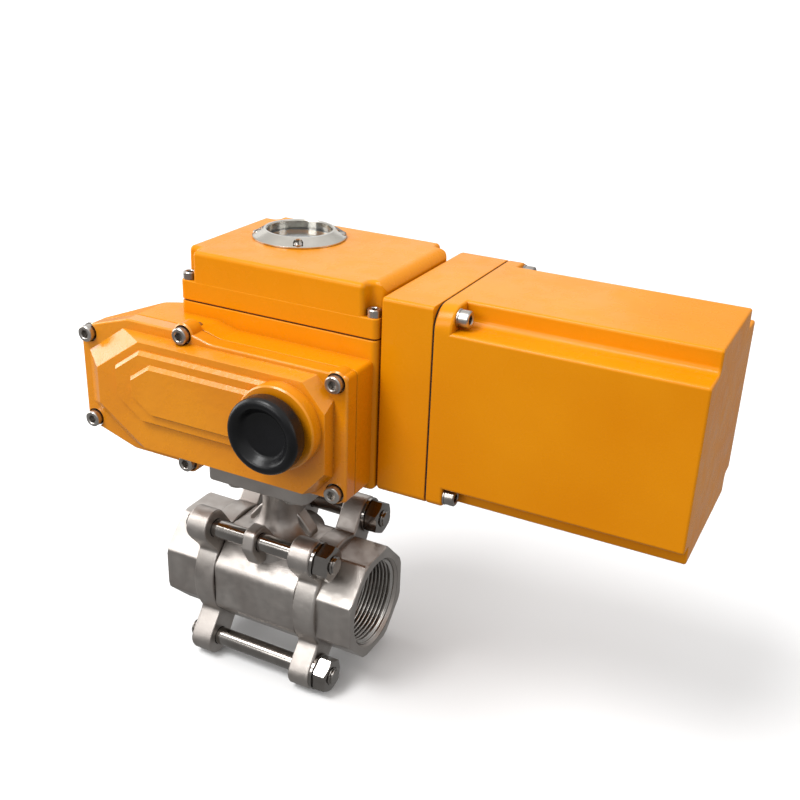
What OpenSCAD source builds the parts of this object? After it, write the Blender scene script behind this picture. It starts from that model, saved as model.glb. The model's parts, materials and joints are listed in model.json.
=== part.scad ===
// Quarter-turn electric valve actuator on a three-piece threaded ball valve.
// Origin: centre of the valve ball. X runs along the pipe, Z up the stem, -Y is the knob side.

/* [Ball valve] */
// Face-to-face length of the valve
valve_len = 120; // [116:1:130]
// Width across the flats of the octagonal pipe ends
end_flats = 59; // [57:1:62]
// Width across the flats of the octagonal centre body
body_flats = 62; // [60:1:66]
// Length of the centre body between the end caps
body_len = 52; // [50:1:54]
// Minor diameter of the pipe thread
thread_minor = 44.85; // [44:0.05:46]
// Diameter of the ball
ball_d = 48; // [46:1:48]
// Diameter of the flow port
port_d = 32; // [28:1:33]
// Distance of the tie bolts from the stem plane
bolt_y = 27.7; // [26:0.1:29]
// Distance of the tie bolts above and below the pipe axis
bolt_z = 35.7; // [35:0.1:38]

/* [Actuator body] */
// Height of the mounting pad's top above the pipe axis
pad_top = 76.5; // [74:0.5:80]
// Left wall of the main housing
house_x0 = -43.6; // [-46:0.1:-43]
// Right wall of the main housing
house_x1 = 69.2; // [69:0.1:74]
// Front wall of the main housing
house_y0 = -26.2; // [-28:0.1:-26]
// Back wall of the main housing
house_y1 = 59; // [57:0.1:62]
// Underside of the main housing
house_z0 = 84.4; // [84:0.1:85]
// Seam between the housing and the top cover
seam_z = 164.1; // [163:0.1:166]
// Top of the top cover
cover_z = 189.8; // [188:0.1:192]
// Height of the gear cover's centre line
gear_z = 120.9; // [120:0.1:122]
// Front face of the housing's gear chamber
gear_y = -40.7; // [-42:0.1:-40]

/* [Drive train] */
// Distance of the worm shaft from the output axis
worm_x = 37.3; // [37.3:0.1:37.4]
// Height of the worm shaft and the knob
worm_z = 126.7; // [125:0.1:128]
// Module of the worm and its wheel
worm_module = 1.8; // [1.8:0.1:1.8]
// Teeth on the worm wheel
wheel_teeth = 32; // [32:1:32]
// Module of the spur gears
gear_module = 1; // [1:0.1:1]
// Teeth on the gearmotor's pinion
pinion_teeth = 20; // [20:1:20]
// Teeth on each idler gear
idler_teeth = 32; // [32:1:32]
// Teeth on the worm shaft's gear
drive_teeth = 38; // [38:1:38]
// Teeth on the output gear and on the indicator gear
sensor_teeth = 28; // [28:1:28]
// Direction of the indicator shaft from the output axis, degrees
sensor_angle = 102.8; // [95:0.1:110]
// Diameter of the override knob
knob_d = 37.8; // [34:0.1:39]

/* [End box] */
// Length of the adapter between the housing and the end box
adapter_len = 27; // [24:0.1:28]
// Length of the end box shell
shell_len = 124.3; // [110:0.1:130]
// Front face of the end box
box_y0 = -24.1; // [-25:0.1:-24]
// Back face of the end box
box_y1 = 73.7; // [72:0.1:75]
// Top of the end box
box_z1 = 184.9; // [183:0.1:186]
// Depth of the upper screw channels
chan_y = 16.9; // [15:0.1:18]
// Height of the upper screw channels
chan_z = 10.9; // [10:0.1:12]

/* [Hidden] */
$fn = 64;
eps = 0.01;         // makes a cut pass its face
fit = 0.05;         // running and assembly clearance
paint = "#e08a10";
steel = "#b9b6b2";
dark = "#2b2b2d";
plastic = "#e9e5d8";

// valve
half_len = valve_len / 2;
half_body = body_len / 2;
flange_t = 13;      // thickness of an end cap's flange
flange_x = half_body + flange_t;
tie_r = 5;          // M10 tie bolts
tie_ear_r = 10.5;
lug_t = 7;
ball_r = ball_d / 2;
port_r = port_d / 2;
cavity_r = ball_r + 0.8;
seat_r = 21.5;
seat_x = 22;
spigot_x = 19.5;
spigot_r = cavity_r - 0.1;
seal_r = cavity_r + 3;
seal_t = 1;
thread_len = 21;
thread_r = thread_minor / 2;
mouth_r = 25.4;
stem_r = 8;
stem_square = 11;
stem_z0 = ball_r - 4;
neck_r = 11.5;
pad_w = 62;
pad_d = 55;
pad_t = 12;
pad_z0 = pad_top - pad_t;
gland_r = 12;
gland_z = pad_top - 9;
bolt_circle = 50;   // ISO 5211 F05
m6_r = 3;
m5_r = 2.5;
m4_r = 2;
m3_r = 1.5;

// actuator walls
wall = 4;
floor_z = house_z0 + 5;
base_r = 31;
corner = 7.6;       // side of the cover's screw pockets
corner_z = 174.2;
cover_fillet = 7;   // soft right edge of the top cover
gasket_t = 0.8;
flange_depth = 8.3; // thickness of the gear cover's flange
flange_y = gear_y - 0.6 - flange_depth;
step1_y = flange_y - 8;
step2_y = step1_y - 2.7;
step3_y = step2_y - 2;
boss_y = step3_y - 2.4;
boss_r = 20.8;
step_z = gear_z + 1.9;
cavity_y = flange_y - 5.4;
wall_y = gear_y + 5;
cover_screw_xy = [[house_x0 + corner / 2, house_y0 + corner / 2],
    [house_x1 - corner / 2, house_y0 + corner / 2],
    [house_x0 + corner / 2, house_y1 - corner / 2],
    [house_x1 - corner / 2, house_y1 - corner / 2]];
gear_screw_xz = [[-86.9, 23.9], [-24.8, 34.5], [61, 28.4]];

// gear train
wheel_r = worm_module * wheel_teeth / 2;
lead = PI * worm_module;
worm_r = worm_x - wheel_r;
worm_wave = 1.4;    // half depth of the worm thread
worm_len = 6 * lead;
wheel_t = 8;
wheel_twist = 2 * atan(wheel_t / 2 / worm_r) / wheel_teeth;
drive_r = gear_module * drive_teeth / 2;
idler_r = gear_module * idler_teeth / 2;
pinion_r = gear_module * pinion_teeth / 2;
right_idler_x = worm_x - drive_r - idler_r;
left_idler_x = right_idler_x - 2 * idler_r;
motor_x = left_idler_x - idler_r - pinion_r;
train_t = 5;
train_y = flange_y + 1;
backlash = 0.14;
shaft_r = 5;
pin_r = 3;
motor_r = 16;
motor_y1 = 20;
out_r = 12;
out_z0 = pad_top + 1;
chassis_z = 143;
chassis_t = 2;
out_z1 = chassis_z + 6;
sensor_r = gear_module * sensor_teeth;
sensor_x = sensor_r * cos(sensor_angle);
sensor_y = sensor_r * sin(sensor_angle);
sensor_z = 135;
sensor_t = 5;
spindle_r = 4;
disc_z = cover_z - 7;
switch_x = sensor_x + 13;
switch_z = [149.5, 158.5];
knob_r = knob_d / 2;
knob_y = boss_y - 1.2;
knob_t = 11;
knob_grip = 4.5;    // depth of the shaft in the knob
knob_dish = 25;     // radius of the knob's hollow face
bush_y = 24;

entry_z = 148;      // cable entries
entry_r = 10;
gland_x = [-12, 22];

// sight window
window_r = 17;
window_ring_r = 24.6;
ring_t = 4.6;
glass_r = 20;
glass_t = 2;
glass_z = cover_z - 1.6;
seal_z = cover_z - 2.5;
ring_screw_r = 22;

// end box
adapter_x0 = house_x1 + gasket_t;
adapter_x1 = adapter_x0 + adapter_len - gasket_t;
shell_x0 = adapter_x1 + gasket_t;
shell_x1 = shell_x0 + shell_len;
box_flange_x = shell_x0 + 8.4;
box_z0 = house_z0;
low_chan_y = 9.4;
low_chan_z = 10.1;
flange_ear = 11;    // round upper corners of the end box flange
box_wall = 4;
box_mid_y = (box_y0 + box_y1) / 2;
box_mid_z = (box_z0 + box_z1) / 2;
cell_r = 9;
cell_len = 65;
cell_pitch = 19;
cell_x0 = shell_x0 + 30;
cell_rows = 2;
cell_cols = 3;
frame_t = 4;
board_t = 1.6;

// Turns an outline drawn in Y, Z so that it runs along +X from x0
module along_x(x0, len) translate([x0, 0, 0]) rotate([90, 0, 90]) linear_extrude(len) children();

// Turns an outline drawn in X, Z so that it runs along Y from y0 to y1
module along_y(y0, y1) translate([0, y1, 0]) rotate([90, 0, 0]) linear_extrude(y1 - y0) children();

// Rod along X
module rod_x(x0, len, r) translate([x0, 0, 0]) rotate([0, 90, 0]) cylinder(r = r, h = len);

// Rod along Y at (x, z) from y0 to y1
module rod_y(x, z, y0, y1, r) translate([x, y1, z]) rotate([90, 0, 0]) cylinder(r = r, h = y1 - y0);

// Box between two corners
module box(a, b) translate(a) cube(b - a);

// Octagon given its width across the flats, flats level and upright
module octagon(flats) rotate(22.5) circle(r = flats / 2 / cos(22.5), $fn = 8);

// Rectangle between two corners with round corners of radius r
module round_rect(a, b, r) {
    translate([a.x + r, a.y]) square([b.x - a.x - 2 * r, b.y - a.y]);
    translate([a.x, a.y + r]) square([b.x - a.x, b.y - a.y - 2 * r]);
    for (x = [a.x + r, b.x - r], y = [a.y + r, b.y - r]) translate([x, y]) circle(r = r);
}

// Socket head screw, seat at z = 0, shank down
module socket_screw(r, len) difference() {
    union() {
        cylinder(r = 1.7 * r, h = 2 * r);
        translate([0, 0, -len]) cylinder(r = r - fit, h = len + eps);
    }
    translate([0, 0, r]) cylinder(r = 0.95 * r, h = 2 * r, $fn = 6);
}

// Flat washer on z = 0
module washer(r, t) difference() {
    cylinder(r = 2 * r, h = t);
    translate([0, 0, -eps]) cylinder(r = 1.06 * r, h = t + 2 * eps);
}

// Hexagon head bolt, seat at z = 0, shank down
module hex_bolt(r, flats, head_t, len) {
    cylinder(r = flats / 2 / cos(30), h = head_t, $fn = 6);
    translate([0, 0, -len]) cylinder(r = r - fit, h = len + eps);
}

// Involute spur gear outline with a tooth centred on angle phase
function involute(a) = tan(a) * 180 / PI - a;
function half_tooth(pitch_r, rho, teeth) =
    90 / teeth - backlash / 2 / pitch_r * 180 / PI + involute(20)
    - involute(acos(min(1, pitch_r * cos(20) / rho)));
function flank(pitch_r, teeth, m) =
    [for (rho = [pitch_r - 1.25 * m, pitch_r - 0.55 * m, pitch_r + 0.2 * m, pitch_r + 0.95 * m])
        [rho, half_tooth(pitch_r, max(rho, pitch_r * cos(20)), teeth)]];
function gear_points(pitch_r, teeth, m, phase) = [for (i = [0:teeth - 1], side = [-1, 1], k = [0:3])
    let (p = flank(pitch_r, teeth, m)[side < 0 ? k : 3 - k], a = phase + 360 * i / teeth + side * p[1])
    [p[0] * cos(a), p[0] * sin(a)]];

module spur_gear(teeth, thick, phase, bore_r) linear_extrude(thick) difference() {
    polygon(gear_points(gear_module * teeth / 2, teeth, gear_module, phase));
    circle(r = bore_r);
}

// Spur gear of the front train, turning about Y at x
module train_gear(teeth, x, phase, bore_r)
    translate([x, train_y + train_t, worm_z]) rotate([90, 0, 0]) spur_gear(teeth, train_t, phase, bore_r);

// ---------------- ball valve ----------------

module at_tie_bolts() for (y = [-bolt_y, bolt_y], z = [-bolt_z, bolt_z]) translate([0, y, z]) children();

module valve_pad() difference() {
    translate([0, 0, pad_z0]) linear_extrude(pad_t)
        round_rect([-pad_w / 2, -pad_d / 2], [pad_w / 2, pad_d / 2], 4);
    for (a = [45:90:315]) rotate(a) translate([bolt_circle / 2, 0, pad_z0 - 1])
        cylinder(r = m6_r, h = pad_t + 2);
}

// Open hook that guides an upper tie bolt
module bolt_lug(side) translate([-lug_t / 2, side * bolt_y, bolt_z]) rotate([90, 0, 90]) linear_extrude(lug_t)
    difference() {
        union() {
            circle(r = 9);
            translate([side > 0 ? -20 : 0, -12]) square([20, 12]);
        }
        circle(r = tie_r + 0.5);
    }

module valve_body() color(steel) difference() {
    union() {
        along_x(-half_body, body_len) octagon(body_flats);
        for (side = [-1, 1]) bolt_lug(side);
        cylinder(r = neck_r, h = pad_z0 + 1);
        translate([0, 0, body_flats / 2 - 4]) cylinder(r1 = neck_r + 9, r2 = neck_r, h = 16);
        box([-19, -4, 0], [19, 4, 41]);
        translate([0, 0, pad_z0 - 5]) cylinder(r1 = neck_r, r2 = neck_r + 5, h = 5 + eps);
        valve_pad();
    }
    rod_x(-half_body - 1, body_len + 2, cavity_r);
    for (x = [-half_body - eps, half_body - seal_t]) rod_x(x, seal_t + eps, seal_r + fit);
    cylinder(r = stem_r + fit, h = pad_top);
    translate([0, 0, gland_z]) cylinder(r = gland_r, h = pad_top);
    for (side = [-1, 1]) translate([0, side * bolt_y, bolt_z]) rod_x(-half_body, body_len, tie_r + 0.4);
}

module cap_flange() difference() {
    union() {
        circle(r = 33);
        for (side = [-1, 1], up = [-1, 1]) {
            translate([side * bolt_y, up * bolt_z]) circle(r = tie_ear_r);
            rotate(atan2(up * bolt_z, side * bolt_y)) translate([0, -8]) square([bolt_z + 6, 16]);
        }
    }
    for (side = [-1, 1], up = [-1, 1]) translate([side * bolt_y, up * bolt_z]) circle(r = tie_r + 0.25);
}

module end_cap() color(steel) difference() {
    union() {
        along_x(half_body, flange_t) cap_flange();
        rod_x(spigot_x, half_body - spigot_x + 1, spigot_r);
        intersection() {
            along_x(flange_x - 1, half_len - flange_x + 1) octagon(end_flats);
            translate([half_len - 40, 0, 0]) rotate([0, 90, 0])
                cylinder(r1 = end_flats / 2 + 40, r2 = end_flats / 2, h = 40);
        }
    }
    rod_x(0, half_len, port_r);
    rod_x(0, seat_x, seat_r + fit);
    rod_x(half_len - thread_len, thread_len + 1, thread_r);
    translate([half_len - 2.6, 0, 0]) rotate([0, 90, 0]) cylinder(r1 = thread_r, r2 = mouth_r, h = 2.6 + eps);
}

module left_end_cap() mirror([1, 0, 0]) end_cap();
module right_end_cap() end_cap();

module ball() color("#d8d8d8") difference() {
    sphere(r = ball_r, $fn = 96);
    rod_x(-ball_r, ball_d, port_r);
    translate([-3, -ball_r, stem_z0]) cube([6, ball_d, ball_r]);
}

module seat_rings() color(plastic) for (m = [0, 1]) mirror([m, 0, 0]) rotate([0, 90, 0])
    rotate_extrude() difference() {
        translate([port_r, 13.5]) square([seat_r - port_r, seat_x - 13.5]);
        circle(r = ball_r + fit);
    }

module body_seals() color(plastic) for (m = [0, 1]) mirror([m, 0, 0]) difference() {
    rod_x(half_body - seal_t, seal_t, seal_r);
    rod_x(0, half_len, cavity_r);
}

module tie_bolts() color(steel) at_tie_bolts() {
    rod_x(-flange_x - 4, 2 * flange_x + 15.5, tie_r);
    translate([flange_x, 0, 0]) rotate([0, 90, 0]) cylinder(r = 10, h = 1.6);
    translate([flange_x + 1.6, 0, 0]) rotate([0, 90, 0]) cylinder(r = 17 / 2 / cos(30), h = 8, $fn = 6);
}

module valve_stem() color(steel) {
    translate([0, 0, stem_z0 + 0.4]) intersection() {
        cylinder(r = stem_r, h = 5);
        translate([-2.9, -stem_r, 0]) cube([5.8, 2 * stem_r, 5]);
    }
    translate([0, 0, cavity_r + 0.1]) cylinder(r = stem_r, h = pad_top - cavity_r);
    translate([-stem_square / 2, -stem_square / 2, pad_top - 1]) cube([stem_square, stem_square, 16]);
}

module stem_packing() color(plastic) translate([0, 0, gland_z]) difference() {
    cylinder(r = gland_r - fit, h = 4);
    translate([0, 0, -eps]) cylinder(r = stem_r + fit, h = 5);
}

module stem_nut() color(steel) translate([0, 0, gland_z + 4.3]) difference() {
    cylinder(r = 11.4, h = 4, $fn = 6);
    translate([0, 0, -eps]) cylinder(r = stem_r + 0.02, h = 5);
}

module mounting_bolts() color(steel) for (a = [45:90:315]) rotate(a)
    translate([bolt_circle / 2, 0, pad_z0]) mirror([0, 0, 1]) hex_bolt(m6_r, 10, 4, pad_t + 9);

// ---------------- housing ----------------

// Front outline of the gear chamber in X and Z, upper half, about z = 0
module gear_outline_half() {
    polygon([[-89.8, 0], [-89.8, 18], [-82.4, 28.5], [-59.6, 35.9], [-32, 35.9], [-25, 35.9], [-17, 33.9],
        [-12, 32.8], [67.4, 32.8], [67.4, 0]]);
    translate([-84.4, 23.9]) circle(r = 5.4);
    translate(gear_screw_xz[1]) circle(r = 6.2);
    translate(gear_screw_xz[2]) circle(r = 5.9);
}

module gear_outline() translate([0, gear_z]) {
    gear_outline_half();
    mirror([0, 1]) gear_outline_half();
}

module at_gear_screws(y) for (p = gear_screw_xz, up = [-1, 1])
    translate([p.x + (p.x < -80 ? 2.2 : 0), y, gear_z + up * p.y]) rotate([90, 0, 0]) children();

// Slanted back of the gear chamber's left end, seen from above
module left_lobe_plan() polygon([[-91, gear_y - 1], [-91, gear_y + 1.5], [-84, -38], [-74, -30], [-63, -21],
    [-54, -15.3], [-46, -12], [house_x0 + 1, -12], [house_x0 + 1, gear_y - 1]]);

module housing_shape() {
    translate([0, 0, house_z0]) linear_extrude(seam_z - gasket_t - house_z0)
        round_rect([house_x0, house_y0], [house_x1, house_y1], 3);
    translate([0, 0, pad_top]) cylinder(r = base_r, h = house_z0 - pad_top + 1);
    intersection() {
        along_y(gear_y, house_y0 + 20) gear_outline();
        union() {
            linear_extrude(200) left_lobe_plan();
            translate([house_x0, gear_y, 0]) cube([house_x1 - house_x0, house_y0 - gear_y + 1, 200]);
        }
    }
    rod_y(motor_x, worm_z, gear_y, motor_y1 + 4, motor_r + 3.5);
}

module housing_hollow() {
    difference() {
        translate([0, 0, floor_z]) linear_extrude(100)
            round_rect([house_x0 + wall, house_y0 + wall], [house_x1 - wall, house_y1 - wall], 2);
        for (p = cover_screw_xy) translate([p.x, p.y, seam_z - 22]) cylinder(r = 6, h = 30);
        box([worm_x - 9, bush_y, floor_z - 1], [worm_x + 9, bush_y + 8, worm_z + 9]);
    }
    box([-36, wall_y, gear_z - 22], [worm_x - 9, house_y0 + wall + 1, gear_z + 27]);
    box([worm_x - 9 - eps, wall_y + 3, gear_z - 22], [worm_x + 11, house_y0 + wall + 1, gear_z + 27]);
    rod_y(motor_x, worm_z, gear_y - 1, motor_y1, motor_r + 0.1);
}

module housing_holes() {
    translate([0, 0, pad_top - 1]) cylinder(r = out_r + 2, h = 30);
    for (a = [45:90:315]) rotate(a) translate([bolt_circle / 2, 0, pad_top - 1]) cylinder(r = m6_r, h = 10.5);
    for (p = cover_screw_xy) translate([p.x, p.y, seam_z - 18]) cylinder(r = m4_r, h = 30);
    for (y = [gear_y, bush_y]) rod_y(worm_x, worm_z, y - 1, y + 9, shaft_r + 2);
    for (x = [left_idler_x, right_idler_x]) rod_y(x, worm_z, gear_y - 1, wall_y - 1, pin_r);
    translate([0, gear_y + 9, 0]) at_gear_screws(0) cylinder(r = m5_r, h = 10);
    for (x = gland_x) rod_y(x, entry_z, house_y1 - wall - 1, house_y1 + 1, entry_r + fit);
    for (y = [0, 40], z = [110, 150]) translate([0, y, z]) rod_x(house_x1 - 8, 10, m5_r);
    translate([0, 20, 130]) rod_x(house_x1 - 8, 10, 12);
}

module housing() color(paint) difference() {
    housing_shape();
    housing_hollow();
    housing_holes();
}

module bush_z(z0, h) translate([0, 0, z0]) difference() {
    cylinder(r = out_r + 2 - eps, h = h);
    translate([0, 0, -1]) cylinder(r = out_r + fit, h = h + 2);
}

module output_bushes() color("#a9743a") {
    bush_z(pad_top + 1, floor_z - pad_top - 1);
    bush_z(chassis_z - 1, 4);
}

module worm_bushes() color("#a9743a") for (y = [[gear_y, wall_y + 3], [bush_y, bush_y + 8]]) difference() {
    rod_y(worm_x, worm_z, y[0], y[1], shaft_r + 2 - eps);
    rod_y(worm_x, worm_z, y[0] - 1, y[1] + 1, shaft_r + fit);
}

// ---------------- drive train ----------------

module output_shaft() color("#8f8f92") difference() {
    union() {
        translate([0, 0, out_z0]) cylinder(r = out_r, h = out_z1 - out_z0);
        translate([0, 0, floor_z + 0.3]) cylinder(r = out_r + 3, h = 3);
    }
    translate([-stem_square / 2 - fit, -stem_square / 2 - fit, out_z0 - 1])
        cube([stem_square + 2 * fit, stem_square + 2 * fit, 17]);
}

// Wheel rim as a wave that clears the worm's round thread
function wheel_rim(n) = [for (i = [0:n - 1]) let (a = 360 * i / n,
    r = wheel_r - 0.35 - (worm_wave - 0.25) * cos(a * wheel_teeth)) [r * cos(a), r * sin(a)]];

module worm_wheel() color("#b58a3c") difference() {
    translate([0, 0, worm_z - wheel_t / 2]) rotate(-wheel_twist / 2)
        linear_extrude(wheel_t, twist = -wheel_twist, slices = 2) polygon(wheel_rim(wheel_teeth * 8));
    translate([0, 0, worm_z - wheel_t]) cylinder(r = out_r + eps, h = 2 * wheel_t);
}

module output_gear() color("#b58a3c") translate([0, 0, sensor_z])
    spur_gear(sensor_teeth, sensor_t, sensor_angle, out_r + eps);

module worm_shaft() color("#8f8f92") translate([worm_x, 0, worm_z]) rotate([-90, 0, 0]) {
    translate([0, 0, -worm_len / 2]) linear_extrude(worm_len, twist = -360 * 6, slices = 96)
        translate([-worm_wave, 0]) circle(r = worm_r, $fn = 28);
    translate([0, 0, knob_y - knob_grip]) cylinder(r = shaft_r, h = -worm_len / 2 - knob_y + knob_grip + 0.5);
    translate([0, 0, worm_len / 2 - 0.5]) cylinder(r = shaft_r, h = bush_y + 8 - worm_len / 2);
}

module drive_gear() color("#8f8f92") train_gear(drive_teeth, worm_x, 180 + 180 / drive_teeth, shaft_r + eps);
module right_idler() color("#8f8f92") train_gear(idler_teeth, right_idler_x, 0, pin_r + fit);
module left_idler() color("#8f8f92") train_gear(idler_teeth, left_idler_x, 180 / idler_teeth, pin_r + fit);

module idler_pins() color(steel) for (x = [left_idler_x, right_idler_x]) {
    rod_y(x, worm_z, train_y - 2, wall_y - 1, pin_r - eps);
    rod_y(x, worm_z, train_y - 1.6, train_y - 0.4, pin_r + 1.5);
    rod_y(x, worm_z, train_y + train_t + 0.3, gear_y, pin_r + 1.5);
}

module motor_pinion() color("#8f8f92") {
    train_gear(pinion_teeth, motor_x, 0, pin_r - eps);
    rod_y(motor_x, worm_z, train_y, gear_y + 6, pin_r);
}

module gearmotor() color("#3b3d42") difference() {
    rod_y(motor_x, worm_z, gear_y + 0.5, motor_y1 - 0.5, motor_r);
    rod_y(motor_x, worm_z, gear_y - 1, gear_y + 7, pin_r + fit);
}

module gear_cover_steps() {
    along_y(flange_y, gear_y - 0.6) gear_outline();
    hull() {
        along_y(flange_y - 0.1, flange_y) bevel_outline(-85.1, -62, 51.1, 60.2, 14.4, 30.6, 19.9);
        along_y(step1_y, step1_y + 0.1) bevel_outline(-73.7, -46, 48, 60.2, 9.8, 29, 15.2);
    }
    along_y(step2_y, step1_y + 1) step_outline(-61, -45, 8, 19.3, boss_r + 1.6);
    along_y(step3_y, step2_y + 1) step_outline(-50, -37.5, 5, 13.7, boss_r + 0.8);
    rod_y(worm_x, worm_z, boss_y, step3_y + 1, boss_r);
}

// Raised field: slanted ends at x0..x1 and x2..x3, half heights h0 (left), h1 (middle), h2 (right)
module bevel_outline(x0, x1, x2, x3, h0, h1, h2) translate([0, gear_z])
    polygon([[x0, h0], [x1, h1], [x2, h1], [x3, h2], [x3, -h2], [x2, -h1], [x1, -h1], [x0, -h0]]);

// Step with a slanted left end that runs into the round knob boss
module step_outline(x0, x1, h0, h1, r) {
    translate([0, step_z]) polygon([[x0, h0], [x1, h1], [worm_x, h1], [worm_x, -h1], [x1, -h1], [x0, -h0]]);
    translate([worm_x, worm_z]) circle(r = r);
}

// Room for the gear train
module train_room() translate([0, worm_z]) {
    translate([motor_x, 0]) circle(r = pinion_r + 2.5);
    translate([motor_x, -12]) square([worm_x - motor_x, 24]);
    for (x = [left_idler_x, right_idler_x]) translate([x, 0]) circle(r = idler_r + 2);
    translate([worm_x, 0]) circle(r = drive_r + 2);
}

module gear_cover() color(paint) difference() {
    gear_cover_steps();
    along_y(cavity_y, gear_y) train_room();
    rod_y(worm_x, worm_z, boss_y - 1, gear_y, shaft_r + 0.1);
    rod_y(worm_x, worm_z, boss_y - 1, boss_y + 3, shaft_r + 3);
    at_gear_screws(0) cylinder(r = m5_r + 0.2, h = 60);
    at_gear_screws(flange_y + 2.4) cylinder(r = 5.3, h = 10);
}

module gear_cover_gasket() color(dark) difference() {
    union() for (m = [0, 1]) translate([0, 0, m * 2 * gear_z]) mirror([0, 0, m])
        along_y(gear_y - 0.6, gear_y) translate([0, gear_z]) gear_outline_half();
    along_y(gear_y - 1, gear_y + 1) train_room();
    at_gear_screws(0) cylinder(r = m5_r + 0.2, h = 60);
}

module gear_cover_screws() color(steel) at_gear_screws(flange_y + 2.4) {
    washer(m5_r, 1);
    translate([0, 0, 1]) socket_screw(m5_r, 13);
}

module override_knob() color(dark) translate([worm_x, 0, worm_z]) rotate([90, 0, 0]) difference() {
    union() {
        translate([0, 0, -knob_y]) cylinder(r1 = knob_r - 1.5, r2 = knob_r, h = 3);
        translate([0, 0, -knob_y + 3]) cylinder(r = knob_r, h = knob_t - 5);
        translate([0, 0, -knob_y + knob_t - 2]) cylinder(r1 = knob_r, r2 = knob_r - 2, h = 2);
    }
    translate([0, 0, -knob_y - 1]) cylinder(r = shaft_r + eps, h = knob_grip + 1);
    translate([0, 0, -knob_y + knob_t + knob_dish - 5]) sphere(r = knob_dish, $fn = 96);
}

module knob_seal() color(dark) translate([worm_x, boss_y + 2.9, worm_z]) rotate([90, 0, 0]) difference() {
    cylinder(r = shaft_r + 3 - fit, h = 2.6);
    translate([0, 0, -1]) cylinder(r = shaft_r + fit, h = 5);
}

// ---------------- switch deck and indicator ----------------

module at_sensor(z) translate([sensor_x, sensor_y, z]) children();

module chassis_plate() color("#c9cacc") difference() {
    translate([0, 0, chassis_z]) linear_extrude(chassis_t)
        round_rect([house_x0 + wall + 7.7, house_y0 + wall + 1],
            [house_x1 - wall - 9, house_y1 - wall - 1], 3);
    translate([0, 0, chassis_z - 1]) cylinder(r = out_r + 2, h = 4);
    at_sensor(chassis_z - 1) cylinder(r = spindle_r + 2 + eps, h = 4);
    for (p = standoff_xy()) translate([p.x, p.y, chassis_z - 1]) cylinder(r = m3_r + 0.1, h = 4);
}

function standoff_xy() = [[-29.3, -17.8], [-26.5, 24], [53, -16], [48, 48]];

module standoffs() color(steel) for (p = standoff_xy()) translate([p.x, p.y, 0]) {
    translate([0, 0, floor_z]) cylinder(r = 3, h = chassis_z - floor_z);
    translate([0, 0, chassis_z - 0.5]) cylinder(r = m3_r, h = chassis_t + 1);
    translate([0, 0, chassis_z + chassis_t]) cylinder(r = 2.6, h = 2.4);
}

module indicator_shaft() color(steel) at_sensor(sensor_z - 2)
    cylinder(r = spindle_r, h = disc_z - sensor_z + 2);

module indicator_gear() color("#b58a3c") at_sensor(sensor_z)
    spur_gear(sensor_teeth, sensor_t, sensor_angle + 180 + 180 / sensor_teeth, spindle_r + eps);

// Cam with a raised sector from angle a
module cam(z, a) at_sensor(z) difference() {
    union() {
        cylinder(r = 8, h = 5);
        rotate(a) rotate_extrude(angle = 100) square([10, 5]);
    }
    translate([0, 0, -1]) cylinder(r = spindle_r + eps, h = 7);
}

module position_cams() color("#c9332b") {
    cam(150, 60);
    cam(159, -100);
}

module at_switches() for (z = switch_z) translate([switch_x, sensor_y - 10, z]) children();

module limit_switches() at_switches() {
    color(dark) difference() {
        cube([10, 20, 6]);
        for (y = [4, 16]) translate([5, y, -1]) cylinder(r = 1.6, h = 8);
    }
    color(dark) for (y = [0.5, 17.5]) translate([-2, y, 1]) cube([2, 0.6, 4]);
    color("#c9332b") translate([-0.5, 12, 2]) cube([0.5, 2, 2]);
}

// Snap-action lever that the cam presses, hinged at its front end
module switch_lever(z) color(steel) translate([switch_x, sensor_y - 10, z]) {
    translate([-1.7, 2.2, 1.2]) cube([0.5, 15, 3.6]);
    translate([-1.5, 2.2, 1.2]) cylinder(r = 0.7, h = 3.6);
}

module lower_switch_lever() switch_lever(switch_z[0]);
module upper_switch_lever() switch_lever(switch_z[1]);

// Angle plate and two through screws that carry the switches
module switch_bracket() color(steel) {
    box([switch_x + 10, sensor_y - 10, chassis_z + chassis_t], [switch_x + 11.5, sensor_y + 10, 166]);
    box([switch_x, sensor_y - 10, chassis_z + chassis_t],
        [switch_x + 11, sensor_y + 10, chassis_z + chassis_t + 1.5]);
    for (y = [4, 16]) translate([switch_x + 5, sensor_y - 10 + y, chassis_z + chassis_t + 1]) {
        cylinder(r = 1.55, h = 21);
        translate([0, 0, 20.6]) cylinder(r = 2.8, h = 1.8);
    }
}

module spindle_bush() color("#a9743a") at_sensor(chassis_z - 1.5) difference() {
    union() {
        cylinder(r = spindle_r + 2, h = 5);
        translate([0, 0, chassis_t + 1.5]) cylinder(r = spindle_r + 3.5, h = 1.5);
    }
    translate([0, 0, -1]) cylinder(r = spindle_r + fit, h = 8);
}

module control_board() {
    color("#1f6b3a") translate([-28, -20, 151]) cube([58, 30, board_t]);
    color(dark) translate([-24, -16, 151 + board_t - eps]) cube([15, 12, 11]);
    color("#2a4fa0") translate([-4, -16, 151 + board_t - eps]) cube([18, 10, 14]);
    color(steel) for (x = [-23.5, 27], y = [-17, 7]) translate([x, y, chassis_z + chassis_t])
        cylinder(r = 2, h = 151 - chassis_z - chassis_t + eps);
}

module terminal_block() color("#4b7d4f") difference() {
    translate([40, -6, chassis_z + chassis_t]) cube([14, 48, 15]);
    for (i = [0:7]) {
        translate([47, -3 + 6 * i, chassis_z + 10]) cylinder(r = 2.1, h = 10);
        translate([50, -5 + 6 * i, chassis_z + 5]) cube([5, 4, 4]);
    }
}

module indicator_disc() at_sensor(disc_z) {
    color(plastic) cylinder(r = 15.5, h = 1.5);
    color("#c9332b") translate([-2.5, -13, 1.4]) cube([5, 26, 1]);
}

// ---------------- top cover and sight window ----------------

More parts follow.
